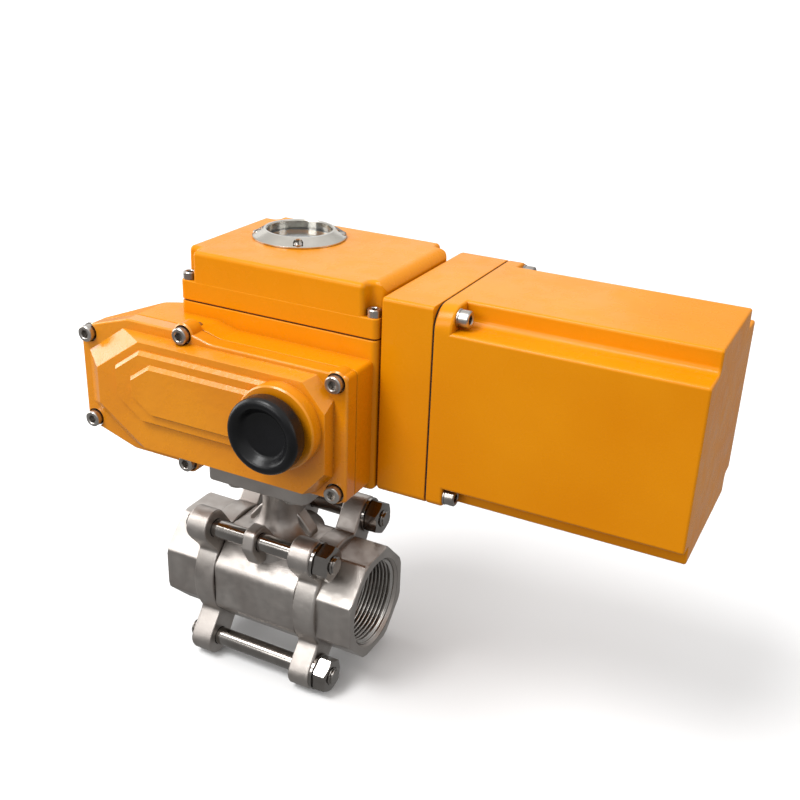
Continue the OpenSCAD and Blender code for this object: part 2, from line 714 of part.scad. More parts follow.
module cover_plan(inset) difference() {
    round_rect([house_x0 + inset, house_y0 + inset], [house_x1 - inset, house_y1 - inset], 3);
    for (p = cover_screw_xy) translate(p) {
        sx = p.x < 0 ? -1 : 1;
        sy = p.y < 0 ? -1 : 1;
        translate([sx > 0 ? -corner / 2 - inset : -corner, sy > 0 ? -corner / 2 - inset : -corner])
            square(1.5 * corner + inset);
    }
}

module top_cover() color(paint) difference() {
    union() {
        translate([0, 0, seam_z]) linear_extrude(corner_z - seam_z)
            round_rect([house_x0, house_y0], [house_x1, house_y1], 3);
        translate([0, 0, corner_z - 1]) linear_extrude(cover_z - 3 - corner_z + 1) cover_plan(0);
        translate([0, 0, cover_z - 3 - eps]) linear_extrude(1.6) cover_plan(0.9);
        translate([0, 0, cover_z - 1.5]) linear_extrude(1.5) cover_plan(3);
    }
    difference() {
        translate([0, 0, seam_z - 1]) linear_extrude(cover_z - 4.5 - seam_z + 1)
            round_rect([house_x0 + wall, house_y0 + wall], [house_x1 - wall, house_y1 - wall], 2);
        for (p = cover_screw_xy) translate([p.x - corner / 2 - 4, p.y - corner / 2 - 4, seam_z - 2])
            cube([corner + 8, corner + 8, 40]);
    }
    for (p = cover_screw_xy) translate([p.x, p.y, seam_z - 1]) cylinder(r = m4_r + 0.2, h = 20);
    difference() {
        box([house_x1 - cover_fillet, house_y0 - 1, cover_z - cover_fillet],
            [house_x1 + 1, house_y1 + 1, cover_z + 1]);
        rod_y(house_x1 - cover_fillet, cover_z - cover_fillet, house_y0 - 2, house_y1 + 2, cover_fillet);
    }
    at_sensor(cover_z - 10) cylinder(r = window_r, h = 20);
    at_sensor(seal_z) cylinder(r = glass_r + 0.1, h = 20);
    for (a = [30:90:300]) at_sensor(cover_z - 4) rotate(a) translate([ring_screw_r, 0, 0])
        cylinder(r = m3_r, h = 6);
}

module cover_gasket() color(dark) translate([0, 0, seam_z - gasket_t]) linear_extrude(gasket_t) difference() {
    round_rect([house_x0 + 1.2, house_y0 + 1.2], [house_x1 - 1.2, house_y1 - 1.2], 2);
    difference() {
        round_rect([house_x0 + wall, house_y0 + wall], [house_x1 - wall, house_y1 - wall], 2);
        for (p = cover_screw_xy) translate(p) circle(r = 6);
    }
    for (p = cover_screw_xy) translate(p) circle(r = m4_r + 0.3);
}

module cover_screws() color(steel) for (p = cover_screw_xy) translate([p.x, p.y, corner_z])
    socket_screw(m4_r, 26);

module window_glass() color("#8fa3ad", 0.35) at_sensor(glass_z) cylinder(r = glass_r, h = glass_t);

module window_seal() color(dark) at_sensor(seal_z) difference() {
    cylinder(r = glass_r, h = glass_z - seal_z);
    translate([0, 0, -1]) cylinder(r = window_r + 0.5, h = 3);
}

module window_ring() color("#d4d2cc") at_sensor(cover_z) difference() {
    union() {
        cylinder(r = window_ring_r, h = 1.2);
        translate([0, 0, 1.2 - eps])
            cylinder(r1 = window_ring_r, r2 = window_r + 1.8, h = ring_t - 1.2 + eps);
    }
    translate([0, 0, -1]) cylinder(r = window_r, h = 9);
    translate([0, 0, -1]) cylinder(r = glass_r + 0.1, h = 1.4);
    for (a = [30:90:300]) rotate(a) translate([ring_screw_r, 0, 0]) {
        translate([0, 0, -1]) cylinder(r = m3_r, h = 6);
        translate([0, 0, 1.4]) cylinder(r = 2.5, h = 6);
        translate([0, -2.5, 1.4]) cube([5, 5, 6]);
    }
}

module ring_screws() color(steel) for (a = [30:90:300]) at_sensor(cover_z) rotate(a)
    translate([ring_screw_r, 0, 0]) difference() {
        union() {
            translate([0, 0, 1.4]) cylinder(r = 2.35, h = 1.5);
            translate([0, 0, -3.6]) cylinder(r = m3_r - fit, h = 5.1);
        }
        translate([-3, -0.4, 2.2]) cube([6, 0.8, 2]);
    }

module cable_glands() color(dark) for (x = gland_x) difference() {
    union() {
        rod_y(x, entry_z, house_y1 - wall, house_y1 + 1, entry_r);
        translate([x, house_y1 + 6, entry_z]) rotate([90, 0, 0]) cylinder(r = 13.8, h = 6, $fn = 6);
        rod_y(x, entry_z, house_y1 + 5.9, house_y1 + 16, 11.5);
    }
    rod_y(x, entry_z, house_y1 - 20, house_y1 + 20, 5);
}

// ---------------- end box ----------------

module box_plan(inset) round_rect([box_y0 + inset, box_z0 + inset], [box_y1 - inset, box_z1 - inset], 4);

// Outline of the end box flange, with round upper corners about the screws
module flange_plan(inset) {
    round_rect([box_y0 + inset, box_z0 + inset], [box_y1 - inset, box_z1 - flange_ear], 4);
    translate([box_y0 + flange_ear, box_mid_z])
        square([box_y1 - box_y0 - 2 * flange_ear, box_z1 - box_mid_z - inset]);
    translate([box_y0 + inset, box_mid_z])
        square([box_y1 - box_y0 - 2 * inset, box_z1 - box_mid_z - flange_ear]);
    for (y = [box_y0 + flange_ear, box_y1 - flange_ear]) translate([y, box_z1 - flange_ear])
        circle(r = flange_ear - inset);
}

// Outline of the end box with a screw channel along each corner
module channel_plan(inset) difference() {
    box_plan(inset);
    for (s = [0, 1]) translate([s * (box_y0 + box_y1), 0]) mirror([s, 0]) {
        translate([box_y0 - 1, box_z1 - chan_z - inset]) square([chan_y + 1 + inset, chan_z + 5]);
        translate([box_y0 - 1, box_z0 - 5 + inset]) square([low_chan_y + 1 + inset, low_chan_z + 5]);
    }
}

module at_box_screws(x) for (s = [0, 1]) translate([0, s * (box_y0 + box_y1), 0]) mirror([0, s, 0]) {
    translate([x, box_y0 + chan_y / 2, box_z1 - chan_z / 2 - 0.2]) rotate([0, 90, 0]) children();
    translate([x, box_y0 + low_chan_y / 2, box_z0 + low_chan_z / 2 - 0.1]) rotate([0, 90, 0]) children();
}

module adapter_plate() color(paint) difference() {
    along_x(adapter_x0, adapter_x1 - adapter_x0) box_plan(0);
    along_x(adapter_x0 + 6, adapter_len) channel_plan(5);
    translate([0, 20, 130]) rod_x(adapter_x0 - 1, 10, 12);
    for (y = [0, 40], z = [110, 150]) translate([0, y, z]) rod_x(adapter_x0 - 1, 10, m5_r);
    at_box_screws(adapter_x1 - 12) cylinder(r = m5_r, h = 20);
}

module adapter_gasket() color(dark) difference() {
    along_x(house_x1, gasket_t) round_rect([box_y0 + 2, box_z0 + 2], [house_y1 - 2, seam_z - 3], 3);
    translate([0, 20, 130]) rod_x(house_x1 - 1, 10, 12);
    for (y = [0, 40], z = [110, 150]) translate([0, y, z]) rod_x(house_x1 - 1, 10, m5_r);
}

module adapter_screws() color(steel) for (y = [0, 40], z = [110, 150])
    translate([adapter_x0 + 9, y, z]) rotate([0, 90, 0]) socket_screw(m5_r, 13);

module end_shell() color(paint) difference() {
    union() {
        along_x(shell_x0, box_flange_x - shell_x0) flange_plan(0);
        along_x(box_flange_x - 1, shell_x1 - box_flange_x + 1) channel_plan(0);
    }
    along_x(shell_x0 - 1, shell_x1 - shell_x0 + 1 - box_wall) channel_plan(box_wall);
    at_box_screws(shell_x0 - 1) cylinder(r = m5_r + 0.2, h = 20);
}

module shell_gasket() color(dark) difference() {
    along_x(adapter_x1, gasket_t) difference() {
        flange_plan(0.6);
        channel_plan(5);
    }
    at_box_screws(adapter_x1 - 1) cylinder(r = m5_r + 0.2, h = 5);
}

module shell_screws() color(steel) at_box_screws(box_flange_x) {
    washer(m5_r * 0.9, 0.8);
    translate([0, 0, 0.8]) socket_screw(m5_r, 19);
}

module at_cells() for (i = [0:cell_cols - 1], j = [0:cell_rows - 1])
    translate([0, box_mid_y + (i - (cell_cols - 1) / 2) * cell_pitch, 0])
        translate([0, 0, box_mid_z - 8 + (j - (cell_rows - 1) / 2) * cell_pitch]) children();

module battery_cells() color("#3d6fb0") at_cells() rod_x(cell_x0, cell_len, cell_r);

module battery_frame() color("#4a4c50") difference() {
    union() {
        for (x = [cell_x0 - 1, cell_x0 + cell_len - frame_t + 1])
            box([x, box_mid_y - 31, box_mid_z - 30], [x + frame_t, box_mid_y + 31, box_mid_z + 14]);
        box([adapter_x0 + 6, box_mid_y - 31, box_mid_z - 33],
            [cell_x0 + cell_len + 1, box_mid_y + 31, box_mid_z - 30 + eps]);
        box([adapter_x0 + 6, box_mid_y - 31, box_mid_z - 33],
            [adapter_x0 + 9, box_mid_y + 31, box_mid_z + 24]);
    }
    at_cells() rod_x(cell_x0, cell_len, cell_r + fit);
    for (y = [0, 40], z = [110, 150]) translate([0, y, z]) rod_x(adapter_x0 + 5, 5, m5_r + 0.2);
    translate([0, 20, 130]) rod_x(adapter_x0 + 5, 5, 12);
}

module charger_board() {
    color("#1f6b3a") translate([cell_x0 - 1, box_mid_y - 28, box_mid_z + 18]) cube([66, 56, board_t]);
    color(dark) translate([cell_x0 + 6, box_mid_y - 20, box_mid_z + 18 + board_t - eps]) cube([22, 18, 12]);
    color("#c0c2c4") translate([cell_x0 + 36, box_mid_y - 6, box_mid_z + 18 + board_t - eps])
        cube([22, 24, 9]);
}

module board_spacers() color(steel) for (x = [cell_x0 + 1, cell_x0 + cell_len - 1], y = [-25, 25])
    translate([x, box_mid_y + y, box_mid_z + 14]) cylinder(r = 1.4, h = 4);

valve_body();
left_end_cap();
right_end_cap();
ball();
seat_rings();
body_seals();
tie_bolts();
valve_stem();
stem_packing();
stem_nut();
mounting_bolts();
housing();
output_bushes();
output_shaft();
worm_wheel();
output_gear();
worm_shaft();
worm_bushes();
drive_gear();
right_idler();
left_idler();
idler_pins();
motor_pinion();
gearmotor();
gear_cover();
gear_cover_gasket();
gear_cover_screws();
override_knob();
knob_seal();
chassis_plate();
standoffs();
indicator_shaft();
indicator_gear();
position_cams();
limit_switches();
spindle_bush();
lower_switch_lever();
upper_switch_lever();
switch_bracket();
control_board();
terminal_block();
indicator_disc();
top_cover();
cover_gasket();
cover_screws();
window_glass();
window_seal();
window_ring();
ring_screws();
cable_glands();
adapter_plate();
adapter_gasket();
adapter_screws();
end_shell();
shell_gasket();
shell_screws();
battery_cells();
battery_frame();
charger_board();
board_spacers();
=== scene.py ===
"""Looks of the motorized valve actuator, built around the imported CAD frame.

Shapes are sized in mm here and shown in metres.
"""

import json
import math

import bmesh
import bpy
import numpy as np
from mathutils import Matrix, Vector

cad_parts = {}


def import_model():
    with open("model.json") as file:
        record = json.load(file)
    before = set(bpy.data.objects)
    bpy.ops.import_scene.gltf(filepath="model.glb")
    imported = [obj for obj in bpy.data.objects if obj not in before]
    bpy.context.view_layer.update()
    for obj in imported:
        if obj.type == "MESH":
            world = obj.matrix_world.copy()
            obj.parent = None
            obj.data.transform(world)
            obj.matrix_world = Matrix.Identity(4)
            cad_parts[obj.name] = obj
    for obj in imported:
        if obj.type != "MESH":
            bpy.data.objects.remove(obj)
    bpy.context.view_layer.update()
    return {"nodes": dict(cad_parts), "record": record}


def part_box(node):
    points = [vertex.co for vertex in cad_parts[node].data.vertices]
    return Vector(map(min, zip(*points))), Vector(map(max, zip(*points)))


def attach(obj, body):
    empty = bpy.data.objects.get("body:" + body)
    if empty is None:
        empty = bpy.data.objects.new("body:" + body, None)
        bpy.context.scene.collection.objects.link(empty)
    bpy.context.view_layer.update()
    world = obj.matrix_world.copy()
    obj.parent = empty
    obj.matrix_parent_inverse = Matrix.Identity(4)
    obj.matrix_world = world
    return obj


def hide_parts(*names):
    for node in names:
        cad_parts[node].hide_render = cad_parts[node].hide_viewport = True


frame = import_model()
MM = 0.001
TAU = 2 * math.pi
STRAIGHT = math.radians(178)


def mm_box(node):
    """Lowest and highest corner of a CAD node in mm."""
    lo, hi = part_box(node)
    return lo / MM, hi / MM


# ------------------------------------------------------------------ shape tools


def fillet(points, radius, steps=6, depth=0.0):
    """Closed counter-clockwise outline with rounded corners, moved inwards by depth.

    A point may carry its own radius as a third value. A corner gives steps + 1 points, a nearly
    straight one gives a single point.
    """
    count = len(points)
    flat = [Vector(p[:2]) for p in points]
    moved = inset(flat, depth)
    out = []
    for i, p in enumerate(moved):
        a, b = (moved[i - 1] - p), (moved[(i + 1) % count] - p)
        la, lb = a.length, b.length
        a, b = a / la, b / lb
        r = points[i][2] if len(points[i]) > 2 else radius
        inward = a.x * b.y - a.y * b.x < 0
        r = max(0.02, r - depth) if inward else r + depth
        angle = math.acos(max(-1, min(1, a.dot(b))))
        if angle > STRAIGHT:
            out.append(p)
            continue
        reach = min(r / math.tan(angle / 2), 0.49 * la, 0.49 * lb)
        r = reach * math.tan(angle / 2)
        centre = p + (a + b).normalized() * (r / math.sin(angle / 2))
        start, end = p + a * reach - centre, p + b * reach - centre
        t0 = math.atan2(start.y, start.x)
        turn = (math.atan2(end.y, end.x) - t0 + math.pi) % TAU - math.pi
        for k in range(steps + 1):
            t = t0 + turn * k / steps
            out.append(centre + r * Vector((math.cos(t), math.sin(t))))
    return out


def corners(points, radius, steps=6):
    """Outline as a function of how far it is moved inwards, made afresh from its corners each time."""
    return lambda depth: fillet(points, radius, steps, depth)


def rect(u0, v0, u1, v1):
    return [(u0, v0), (u1, v0), (u1, v1), (u0, v1)]


def circle(u, v, r, steps=64):
    return [Vector((u + r * math.cos(TAU * k / steps), v + r * math.sin(TAU * k / steps)))
            for k in range(steps)]


def inset(loop, depth):
    """Moves a counter-clockwise outline inwards."""
    if abs(depth) < 1e-9:
        return list(loop)
    out = []
    count = len(loop)
    for i, p in enumerate(loop):
        d0 = (p - loop[i - 1]).normalized()
        d1 = (loop[(i + 1) % count] - p).normalized()
        n = Vector((-d0.y - d1.y, d0.x + d1.x))
        n = n.normalized() if n.length > 1e-6 else Vector((-d1.y, d1.x))
        scale = max(0.3, n.dot(Vector((-d1.y, d1.x))))
        out.append(p + n * (depth / scale))
    return out


def place(axis, u, v, w):
    """Point from outline coordinates u, v and the position w along the axis."""
    return {"x": (w, u, v), "y": (u, w, v), "z": (u, v, w)}[axis]


def skin(rings, axis, closed_loop=False):
    """Closed mesh through a list of (outline, position) rings."""
    bm = bmesh.new()
    rows = [[bm.verts.new(place(axis, p[0], p[1], w)) for p in loop] for loop, w in rings]
    pairs = list(zip(rows, rows[1:]))
    if closed_loop:
        pairs.append((rows[-1], rows[0]))
    for low, high in pairs:
        n = len(low)
        for i in range(n):
            j = (i + 1) % n
            bm.faces.new((low[i], low[j], high[j], high[i]))
    if not closed_loop:
        bm.faces.new(rows[0][::-1])
        bm.faces.new(rows[-1])
    bmesh.ops.recalc_face_normals(bm, faces=bm.faces)
    return solid(bm)


def solid(bm):
    """Scratch object from a bmesh, still in mm."""
    mesh = bpy.data.meshes.new("scratch")
    bm.to_mesh(mesh)
    bm.free()
    obj = bpy.data.objects.new("scratch", mesh)
    bpy.context.scene.collection.objects.link(obj)
    return obj


def prism(shape, axis, a, b, ra=0.0, rb=0.0, steps=4, draft=0.0):
    """Extruded outline whose rims at a and b are rounded by ra and rb; draft draws side b in."""
    if not callable(shape):
        loop = [Vector(p[:2]) for p in shape]
        shape = lambda depth: inset(loop, depth)
    rings = []
    for k in range(steps + 1 if ra else 1):
        t = math.pi / 2 * k / steps
        rings.append((shape(ra * (1 - math.sin(t))), a + ra * (1 - math.cos(t))))
    for k in range(steps + 1 if rb else 1):
        t = math.pi / 2 * k / steps
        rings.append((shape(draft + rb * (1 - math.cos(t))), b - rb * (1 - math.sin(t))))
    return skin(rings, axis)


def lathe(profile, axis="z", centre=(0, 0), steps=64):
    """Solid of revolution. The profile runs from the axis out and back, as (radius, position)."""
    bm = bmesh.new()
    rows = []
    for r, w in profile:
        if r < 1e-6:
            rows.append([bm.verts.new(place(axis, centre[0], centre[1], w))])
        else:
            loop = circle(centre[0], centre[1], r, steps)
            rows.append([bm.verts.new(place(axis, p.x, p.y, w)) for p in loop])
    closed = profile[0][0] > 1e-6
    pairs = list(zip(rows, rows[1:]))
    if closed:
        pairs.append((rows[-1], rows[0]))
    for low, high in pairs:
        for i in range(steps):
            j = (i + 1) % steps
            face = []
            for v in (low[i % len(low)], low[j % len(low)], high[j % len(high)], high[i % len(high)]):
                if v not in face:
                    face.append(v)
            if len(face) > 2:
                bm.faces.new(face)
    bmesh.ops.recalc_face_normals(bm, faces=bm.faces)
    return solid(bm)


def cylinder(r, a, b, axis="z", centre=(0, 0), steps=64):
    """Plain round solid from a to b along the axis."""
    return lathe([(0, a), (r, a), (r, b), (0, b)], axis, centre, steps)


def evaluated(obj):
    """Mesh of an object with its modifiers applied."""
    graph = bpy.context.evaluated_depsgraph_get()
    return bpy.data.meshes.new_from_object(obj.evaluated_get(graph))


def triangulated(obj):
    bm = bmesh.new()
    bm.from_mesh(obj.data)
    bmesh.ops.triangulate(bm, faces=[f for f in bm.faces if len(f.verts) > 3])
    bm.to_mesh(obj.data)
    bm.free()


def combine(base, tools, operation):
    """Exact boolean of base with each tool. The tools are used up."""
    triangulated(base)
    for tool in tools:
        triangulated(tool)
        modifier = base.modifiers.new("cut", "BOOLEAN")
        modifier.operation = operation
        modifier.solver = "EXACT"
        modifier.object = tool
        mesh = evaluated(base)
        base.modifiers.clear()
        old = base.data
        base.data = mesh
        bpy.data.meshes.remove(old)
        bpy.data.objects.remove(tool)
        if not mesh.polygons:
            raise RuntimeError("a boolean left nothing of " + base.name)
    return base


def union(base, *tools):
    return combine(base, tools, "UNION")


def cut(base, *tools):
    return combine(base, tools, "DIFFERENCE")


def common(base, *tools):
    return combine(base, tools, "INTERSECT")


def bevelled(obj, width, steps=2, angle=30):
    """Rounds every sharp edge of a simple solid."""
    modifier = obj.modifiers.new("bevel", "BEVEL")
    modifier.width = width
    modifier.segments = steps
    modifier.limit_method = "ANGLE"
    modifier.angle_limit = math.radians(angle)
    mesh = evaluated(obj)
    obj.modifiers.clear()
    obj.data = mesh
    return obj


def joined(objs):
    """Several scratch objects as one mesh."""
    bm = bmesh.new()
    for obj in objs:
        bm.from_mesh(obj.data)
        bpy.data.objects.remove(obj)
    return solid(bm)


def copies(obj, transforms):
    """One mesh at several places."""
    bm = bmesh.new()
    for matrix in transforms:
        piece = obj.data.copy()
        piece.transform(matrix)
        bm.from_mesh(piece)
        bpy.data.meshes.remove(piece)
    bpy.data.objects.remove(obj)
    return solid(bm)


def show(name, obj, body, material, nodes=(), angle=32):
    """Turns a scratch solid into a shown piece in metres, on its body, in place of its CAD nodes."""
    obj.name = name
    obj.data.name = name
    obj.data.transform(Matrix.Scale(MM, 4))
    obj.data.materials.clear()
    obj.data.materials.append(material)
    for polygon in obj.data.polygons:
        polygon.use_smooth = True
        polygon.material_index = 0
    obj.data.set_sharp_from_angle(angle=math.radians(angle))
    modifier = obj.modifiers.new("normals", "WEIGHTED_NORMAL")
    modifier.keep_sharp = True
    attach(obj, body)
    if nodes:
        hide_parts(*nodes)
    return obj


# ------------------------------------------------------------------ materials


class Look:
    """Small helper that builds one node material in object coordinates, in metres."""

    def __init__(self, name, **sockets):
        self.material = bpy.data.materials.new(name)
        self.material.use_nodes = True
        self.tree = self.material.node_tree
        self.shader = self.tree.nodes["Principled BSDF"]
        for key, value in sockets.items():
            self.shader.inputs[key.replace("_", " ")].default_value = value
        self.coords = self.tree.nodes.new("ShaderNodeTexCoord").outputs["Object"]
        self.normal = None

    def node(self, kind, **sockets):
        made = self.tree.nodes.new(kind)
        for key, value in sockets.items():
            self.plug(value, made.inputs[key.replace("_", " ")])
        return made

    def plug(self, value, socket):
        if isinstance(value, bpy.types.NodeSocket):
            self.tree.links.new(value, socket)
        else:
            socket.default_value = value

    def noise(self, scale, detail=3.0, rough=0.5, stretch=None):
        coords = self.coords
        if stretch:
            mapping = self.node("ShaderNodeMapping", Vector=self.coords)
            mapping.inputs["Scale"].default_value = stretch
            coords = mapping.outputs[0]
        made = self.node("ShaderNodeTexNoise", Vector=coords, Scale=scale, Detail=detail, Roughness=rough)
        return made.outputs[0]

    def cells(self, scale):
        made = self.node("ShaderNodeTexVoronoi", Vector=self.coords, Scale=scale)
        return made.outputs[0]

    def ramp(self, value, low, high, from_min=0.3, from_max=0.7):
        made = self.node("ShaderNodeMapRange", Value=value)
        span = {"From Min": from_min, "From Max": from_max, "To Min": low, "To Max": high}
        for key, number in span.items():
            made.inputs[key].default_value = number
        return made.outputs[0]

    def mix(self, factor, a, b):
        made = self.tree.nodes.new("ShaderNodeMix")
        made.data_type = "RGBA"
        self.plug(factor, made.inputs[0])
        for value, socket in ((a, made.inputs[6]), (b, made.inputs[7])):
            self.plug(value, socket)
        return made.outputs[2]

    def math(self, operation, a, b=0.0):
        made = self.tree.nodes.new("ShaderNodeMath")
        made.operation = operation
        self.plug(a, made.inputs[0])
        self.plug(b, made.inputs[1])
        return made.outputs[0]

    def bump(self, height, strength, distance):
        made = self.node("ShaderNodeBump", Height=height)
        made.inputs["Strength"].default_value = strength
        made.inputs["Distance"].default_value = distance
        if self.normal is not None:
            self.plug(self.normal, made.inputs["Normal"])
        self.normal = made.outputs[0]
        self.plug(self.normal, self.shader.inputs["Normal"])

    def edges(self, radius):
        """1 along sharp edges, 0 on flat faces."""
        bevel = self.tree.nodes.new("ShaderNodeBevel")
        bevel.samples = 4
        bevel.inputs["Radius"].default_value = radius
        geometry = self.tree.nodes.new("ShaderNodeNewGeometry")
        dot = self.tree.nodes.new("ShaderNodeVectorMath")
        dot.operation = "DOT_PRODUCT"
        self.plug(bevel.outputs[0], dot.inputs[0])
        self.plug(geometry.outputs["Normal"], dot.inputs[1])
        return self.ramp(dot.outputs["Value"], 1.0, 0.0, 0.75, 0.98)

    def crevice(self, distance):
        """1 in the open, 0 deep in corners."""
        made = self.tree.nodes.new("ShaderNodeAmbientOcclusion")
        made.samples = 6
        made.inputs["Distance"].default_value = distance
        return made.outputs["AO"]

    def set(self, socket, value):
        self.plug(value, self.shader.inputs[socket])


def srgb(code):
    """Linear colour from a hex code."""
    values = [int(code[i:i + 2], 16) / 255 for i in (0, 2, 4)]
    return tuple(v / 12.92 if v <= 0.04045 else ((v + 0.055) / 1.055) ** 2.4 for v in values) + (1.0,)


def paint_look():
    look = Look("powder_coat", IOR=1.5, Specular_IOR_Level=0.2)
    clouds = look.noise(14, 3)
    colour = look.mix(look.ramp(clouds, 0, 1), srgb("E48A00"), srgb("EC9508"))
    shade = look.ramp(look.crevice(0.007), 1.0, 0.0, 0.15, 0.85)
    colour = look.mix(look.math("MULTIPLY", shade, 0.55), colour, srgb("A85C00"))
    # painted highlight: the coat turns a lighter yellow along sharp edges, broken up by noise
    painted_edge_highlight = look.math("MULTIPLY", look.edges(0.0007), look.ramp(look.noise(260, 4), 0, 0.55, 0.4, 0.65))
    colour = look.mix(painted_edge_highlight, colour, srgb("FBB53C"))
    look.set("Base Color", colour)
    look.set("Roughness", look.ramp(look.noise(90, 4), 0.20, 0.34))
    look.bump(look.noise(70, 2), 0.10, 0.0006)
    look.bump(look.noise(620, 2, 0.45), 0.16, 0.00010)
    return look.material


def cast_paint_look():
    """The same coat over the rougher raised field of the gear cover."""
    look = Look("powder_coat_cast", IOR=1.5, Specular_IOR_Level=0.5, Coat_Weight=0.45,
                Coat_Roughness=0.10)
    colour = look.mix(look.ramp(look.noise(18, 3), 0, 1), srgb("E08600"), srgb("EC9508"))
    shade = look.ramp(look.crevice(0.005), 1.0, 0.0, 0.15, 0.85)
    colour = look.mix(look.math("MULTIPLY", shade, 0.6), colour, srgb("A05600"))
    # painted highlight: the coat turns a light yellow along sharp edges, broken up by noise
    painted_edge_highlight = look.math("MULTIPLY", look.edges(0.0006), look.ramp(look.noise(260, 4), 0.1, 0.7, 0.4, 0.65))
    colour = look.mix(painted_edge_highlight, colour, srgb("FFC450"))
    look.set("Base Color", colour)
    look.set("Roughness", look.ramp(look.noise(120, 4), 0.22, 0.38))
    look.bump(look.noise(170, 2), 0.42, 0.0006)
    look.bump(look.noise(520, 3), 0.45, 0.00018)
    return look.material


def cast_steel_look():
    look = Look("blasted_stainless", Metallic=1.0, IOR=2.2)
    colour = look.mix(look.ramp(look.noise(35, 4), 0, 1), srgb("ABA39D"), srgb("C6C0BA"))
    shade = look.ramp(look.crevice(0.006), 1.0, 0.0, 0.1, 0.8)
    colour = look.mix(look.math("MULTIPLY", shade, 0.6), colour, srgb("57504B"))
    # painted highlight: near-white steel along sharp edges
    colour = look.mix(look.math("MULTIPLY", look.edges(0.0006), 0.6), colour, srgb("EDEAE6"))
    look.set("Base Color", colour)
    look.set("Roughness", look.ramp(look.noise(200, 4), 0.34, 0.52))
    look.bump(look.noise(90, 3), 0.20, 0.0006)
    look.bump(look.noise(1100, 2), 0.30, 0.00012)
    return look.material


def turned_steel_look(name, low, high, rough, axis, marks=0.12, spread=0.16):
    """Machined steel with fine tool lines across the given axis."""
    stretch = {"x": (1, 0.02, 0.02), "y": (0.02, 1, 0.02), "z": (0.02, 0.02, 1)}[axis]
    look = Look(name, Metallic=1.0, IOR=2.4)
    lines = look.noise(4200, 2, 0.6, stretch)
    colour = look.mix(look.ramp(look.noise(60, 3), 0, 1), srgb(low), srgb(high))
    shade = look.ramp(look.crevice(0.003), 1.0, 0.0, 0.1, 0.8)
    colour = look.mix(look.math("MULTIPLY", shade, 0.6), colour, srgb("3A3734"))
    look.set("Base Color", colour)
    look.set("Roughness", look.ramp(lines, rough, rough + spread))
    look.bump(lines, marks, 0.00004)
    look.bump(look.noise(300, 2), 0.05, 0.0001)
    return look.material


def plastic_look(name, low, high, rough, grain=0.08, scale=900, specular=0.5):
    look = Look(name, IOR=1.5, Specular_IOR_Level=specular)
    colour = look.mix(look.ramp(look.noise(80, 3), 0, 1), srgb(low), srgb(high))
    # painted highlight: the lighter tone along sharp edges
    colour = look.mix(look.math("MULTIPLY", look.edges(0.0004), 0.35), colour, srgb(high))
    look.set("Base Color", colour)
    look.set("Roughness", look.ramp(look.noise(250, 4), rough, rough + 0.15))
    look.bump(look.noise(scale, 2), grain, 0.00006)
    return look.material


def board_look():
    look = Look("circuit_board", IOR=1.5)
    tracks = look.ramp(look.cells(420), 0, 1, 0.32, 0.36)
    look.set("Base Color", look.mix(tracks, srgb("14532A"), srgb("1F7A40")))
    look.set("Roughness", look.ramp(look.noise(300, 2), 0.3, 0.5))
    look.bump(tracks, 0.2, 0.00005)
    return look.material


def glass_look():
    look = Look("window_glass", Transmission_Weight=1.0, IOR=1.5, Base_Color=(0.93, 0.97, 0.96, 1))
    look.set("Roughness", look.ramp(look.noise(140, 4), 0.0, 0.04))
    look.bump(look.noise(40, 2), 0.02, 0.0002)
    return look.material


PAINT = paint_look()
PAINT_CAST = cast_paint_look()
CAST_STEEL = cast_steel_look()
TURNED_X = turned_steel_look("turned_stainless", "B5B0AB", "D5D1CC", 0.20, "x")
ROD_STEEL = turned_steel_look("rod_steel", "8E8984", "A9A49F", 0.12, "x", 0.004, 0.03)
SCREW_STEEL = turned_steel_look("screw_steel", "A39D96", "CFCAC4", 0.24, "y")
GEAR_STEEL = turned_steel_look("gear_steel", "77757A", "97959A", 0.30, "y")
RING_STEEL = turned_steel_look("ring_steel", "C4BFB6", "D8D4CB", 0.15, "z", 0.03, 0.08)
BRONZE = turned_steel_look("bronze", "9A6A35", "B98848", 0.32, "z")
SHEET_METAL = turned_steel_look("zinc_sheet", "B4B6B8", "CDCFD1", 0.34, "x")
KNOB_BLACK = plastic_look("knob_plastic", "060607", "101013", 0.26, 0.10, 500, 0.35)
DARK_PLASTIC = plastic_look("dark_plastic", "17171A", "26262A", 0.42)
RUBBER = plastic_look("seal_rubber", "101011", "1C1C1D", 0.62, 0.2)
PTFE = plastic_look("ptfe", "E2DFD5", "F0EDE5", 0.38)
RED_PLASTIC = plastic_look("red_plastic", "A61B14", "C42A20", 0.35)
GREEN_PLASTIC = plastic_look("green_plastic", "2E6B3B", "3F8550", 0.40)
DIAL_PLASTIC = plastic_look("dial_plastic", "2B2C29", "3B3C38", 0.35)
POINTER = plastic_look("pointer_plastic", "D8D5C9", "EDEBE2", 0.35)
CELL_WRAP = plastic_look("cell_wrap", "23518F", "2F66AE", 0.28, 0.05, 300)
MOTOR_BLACK = plastic_look("motor_coat", "1B1C20", "2A2B30", 0.45)
BOARD = board_look()
GLASS = glass_look()

SLOT_LOOKS = {
    "cast_stainless": CAST_STEEL, "polished_stainless": TURNED_X, "ptfe": PTFE, "yellow_paint": PAINT,
    "bronze": BRONZE, "gear_steel": GEAR_STEEL, "motor_case": MOTOR_BLACK, "black_knob": KNOB_BLACK,
    "seal_rubber": RUBBER, "zinc_plate": SHEET_METAL, "red_plastic": RED_PLASTIC,
    "switch_body": DARK_PLASTIC, "circuit_board": BOARD, "green_plastic": GREEN_PLASTIC,
    "indicator_plastic": DIAL_PLASTIC, "window_glass": GLASS, "bright_ring": RING_STEEL,
    "cell_wrap": CELL_WRAP,
}
for part in frame["record"]["subparts"]:
    data = frame["nodes"][part["node"]].data
    data.materials.clear()
    data.materials.append(SLOT_LOOKS[part["material_slot"]])
    for polygon in data.polygons:
        polygon.material_index = 0

# ------------------------------------------------------------------ anchors from the CAD

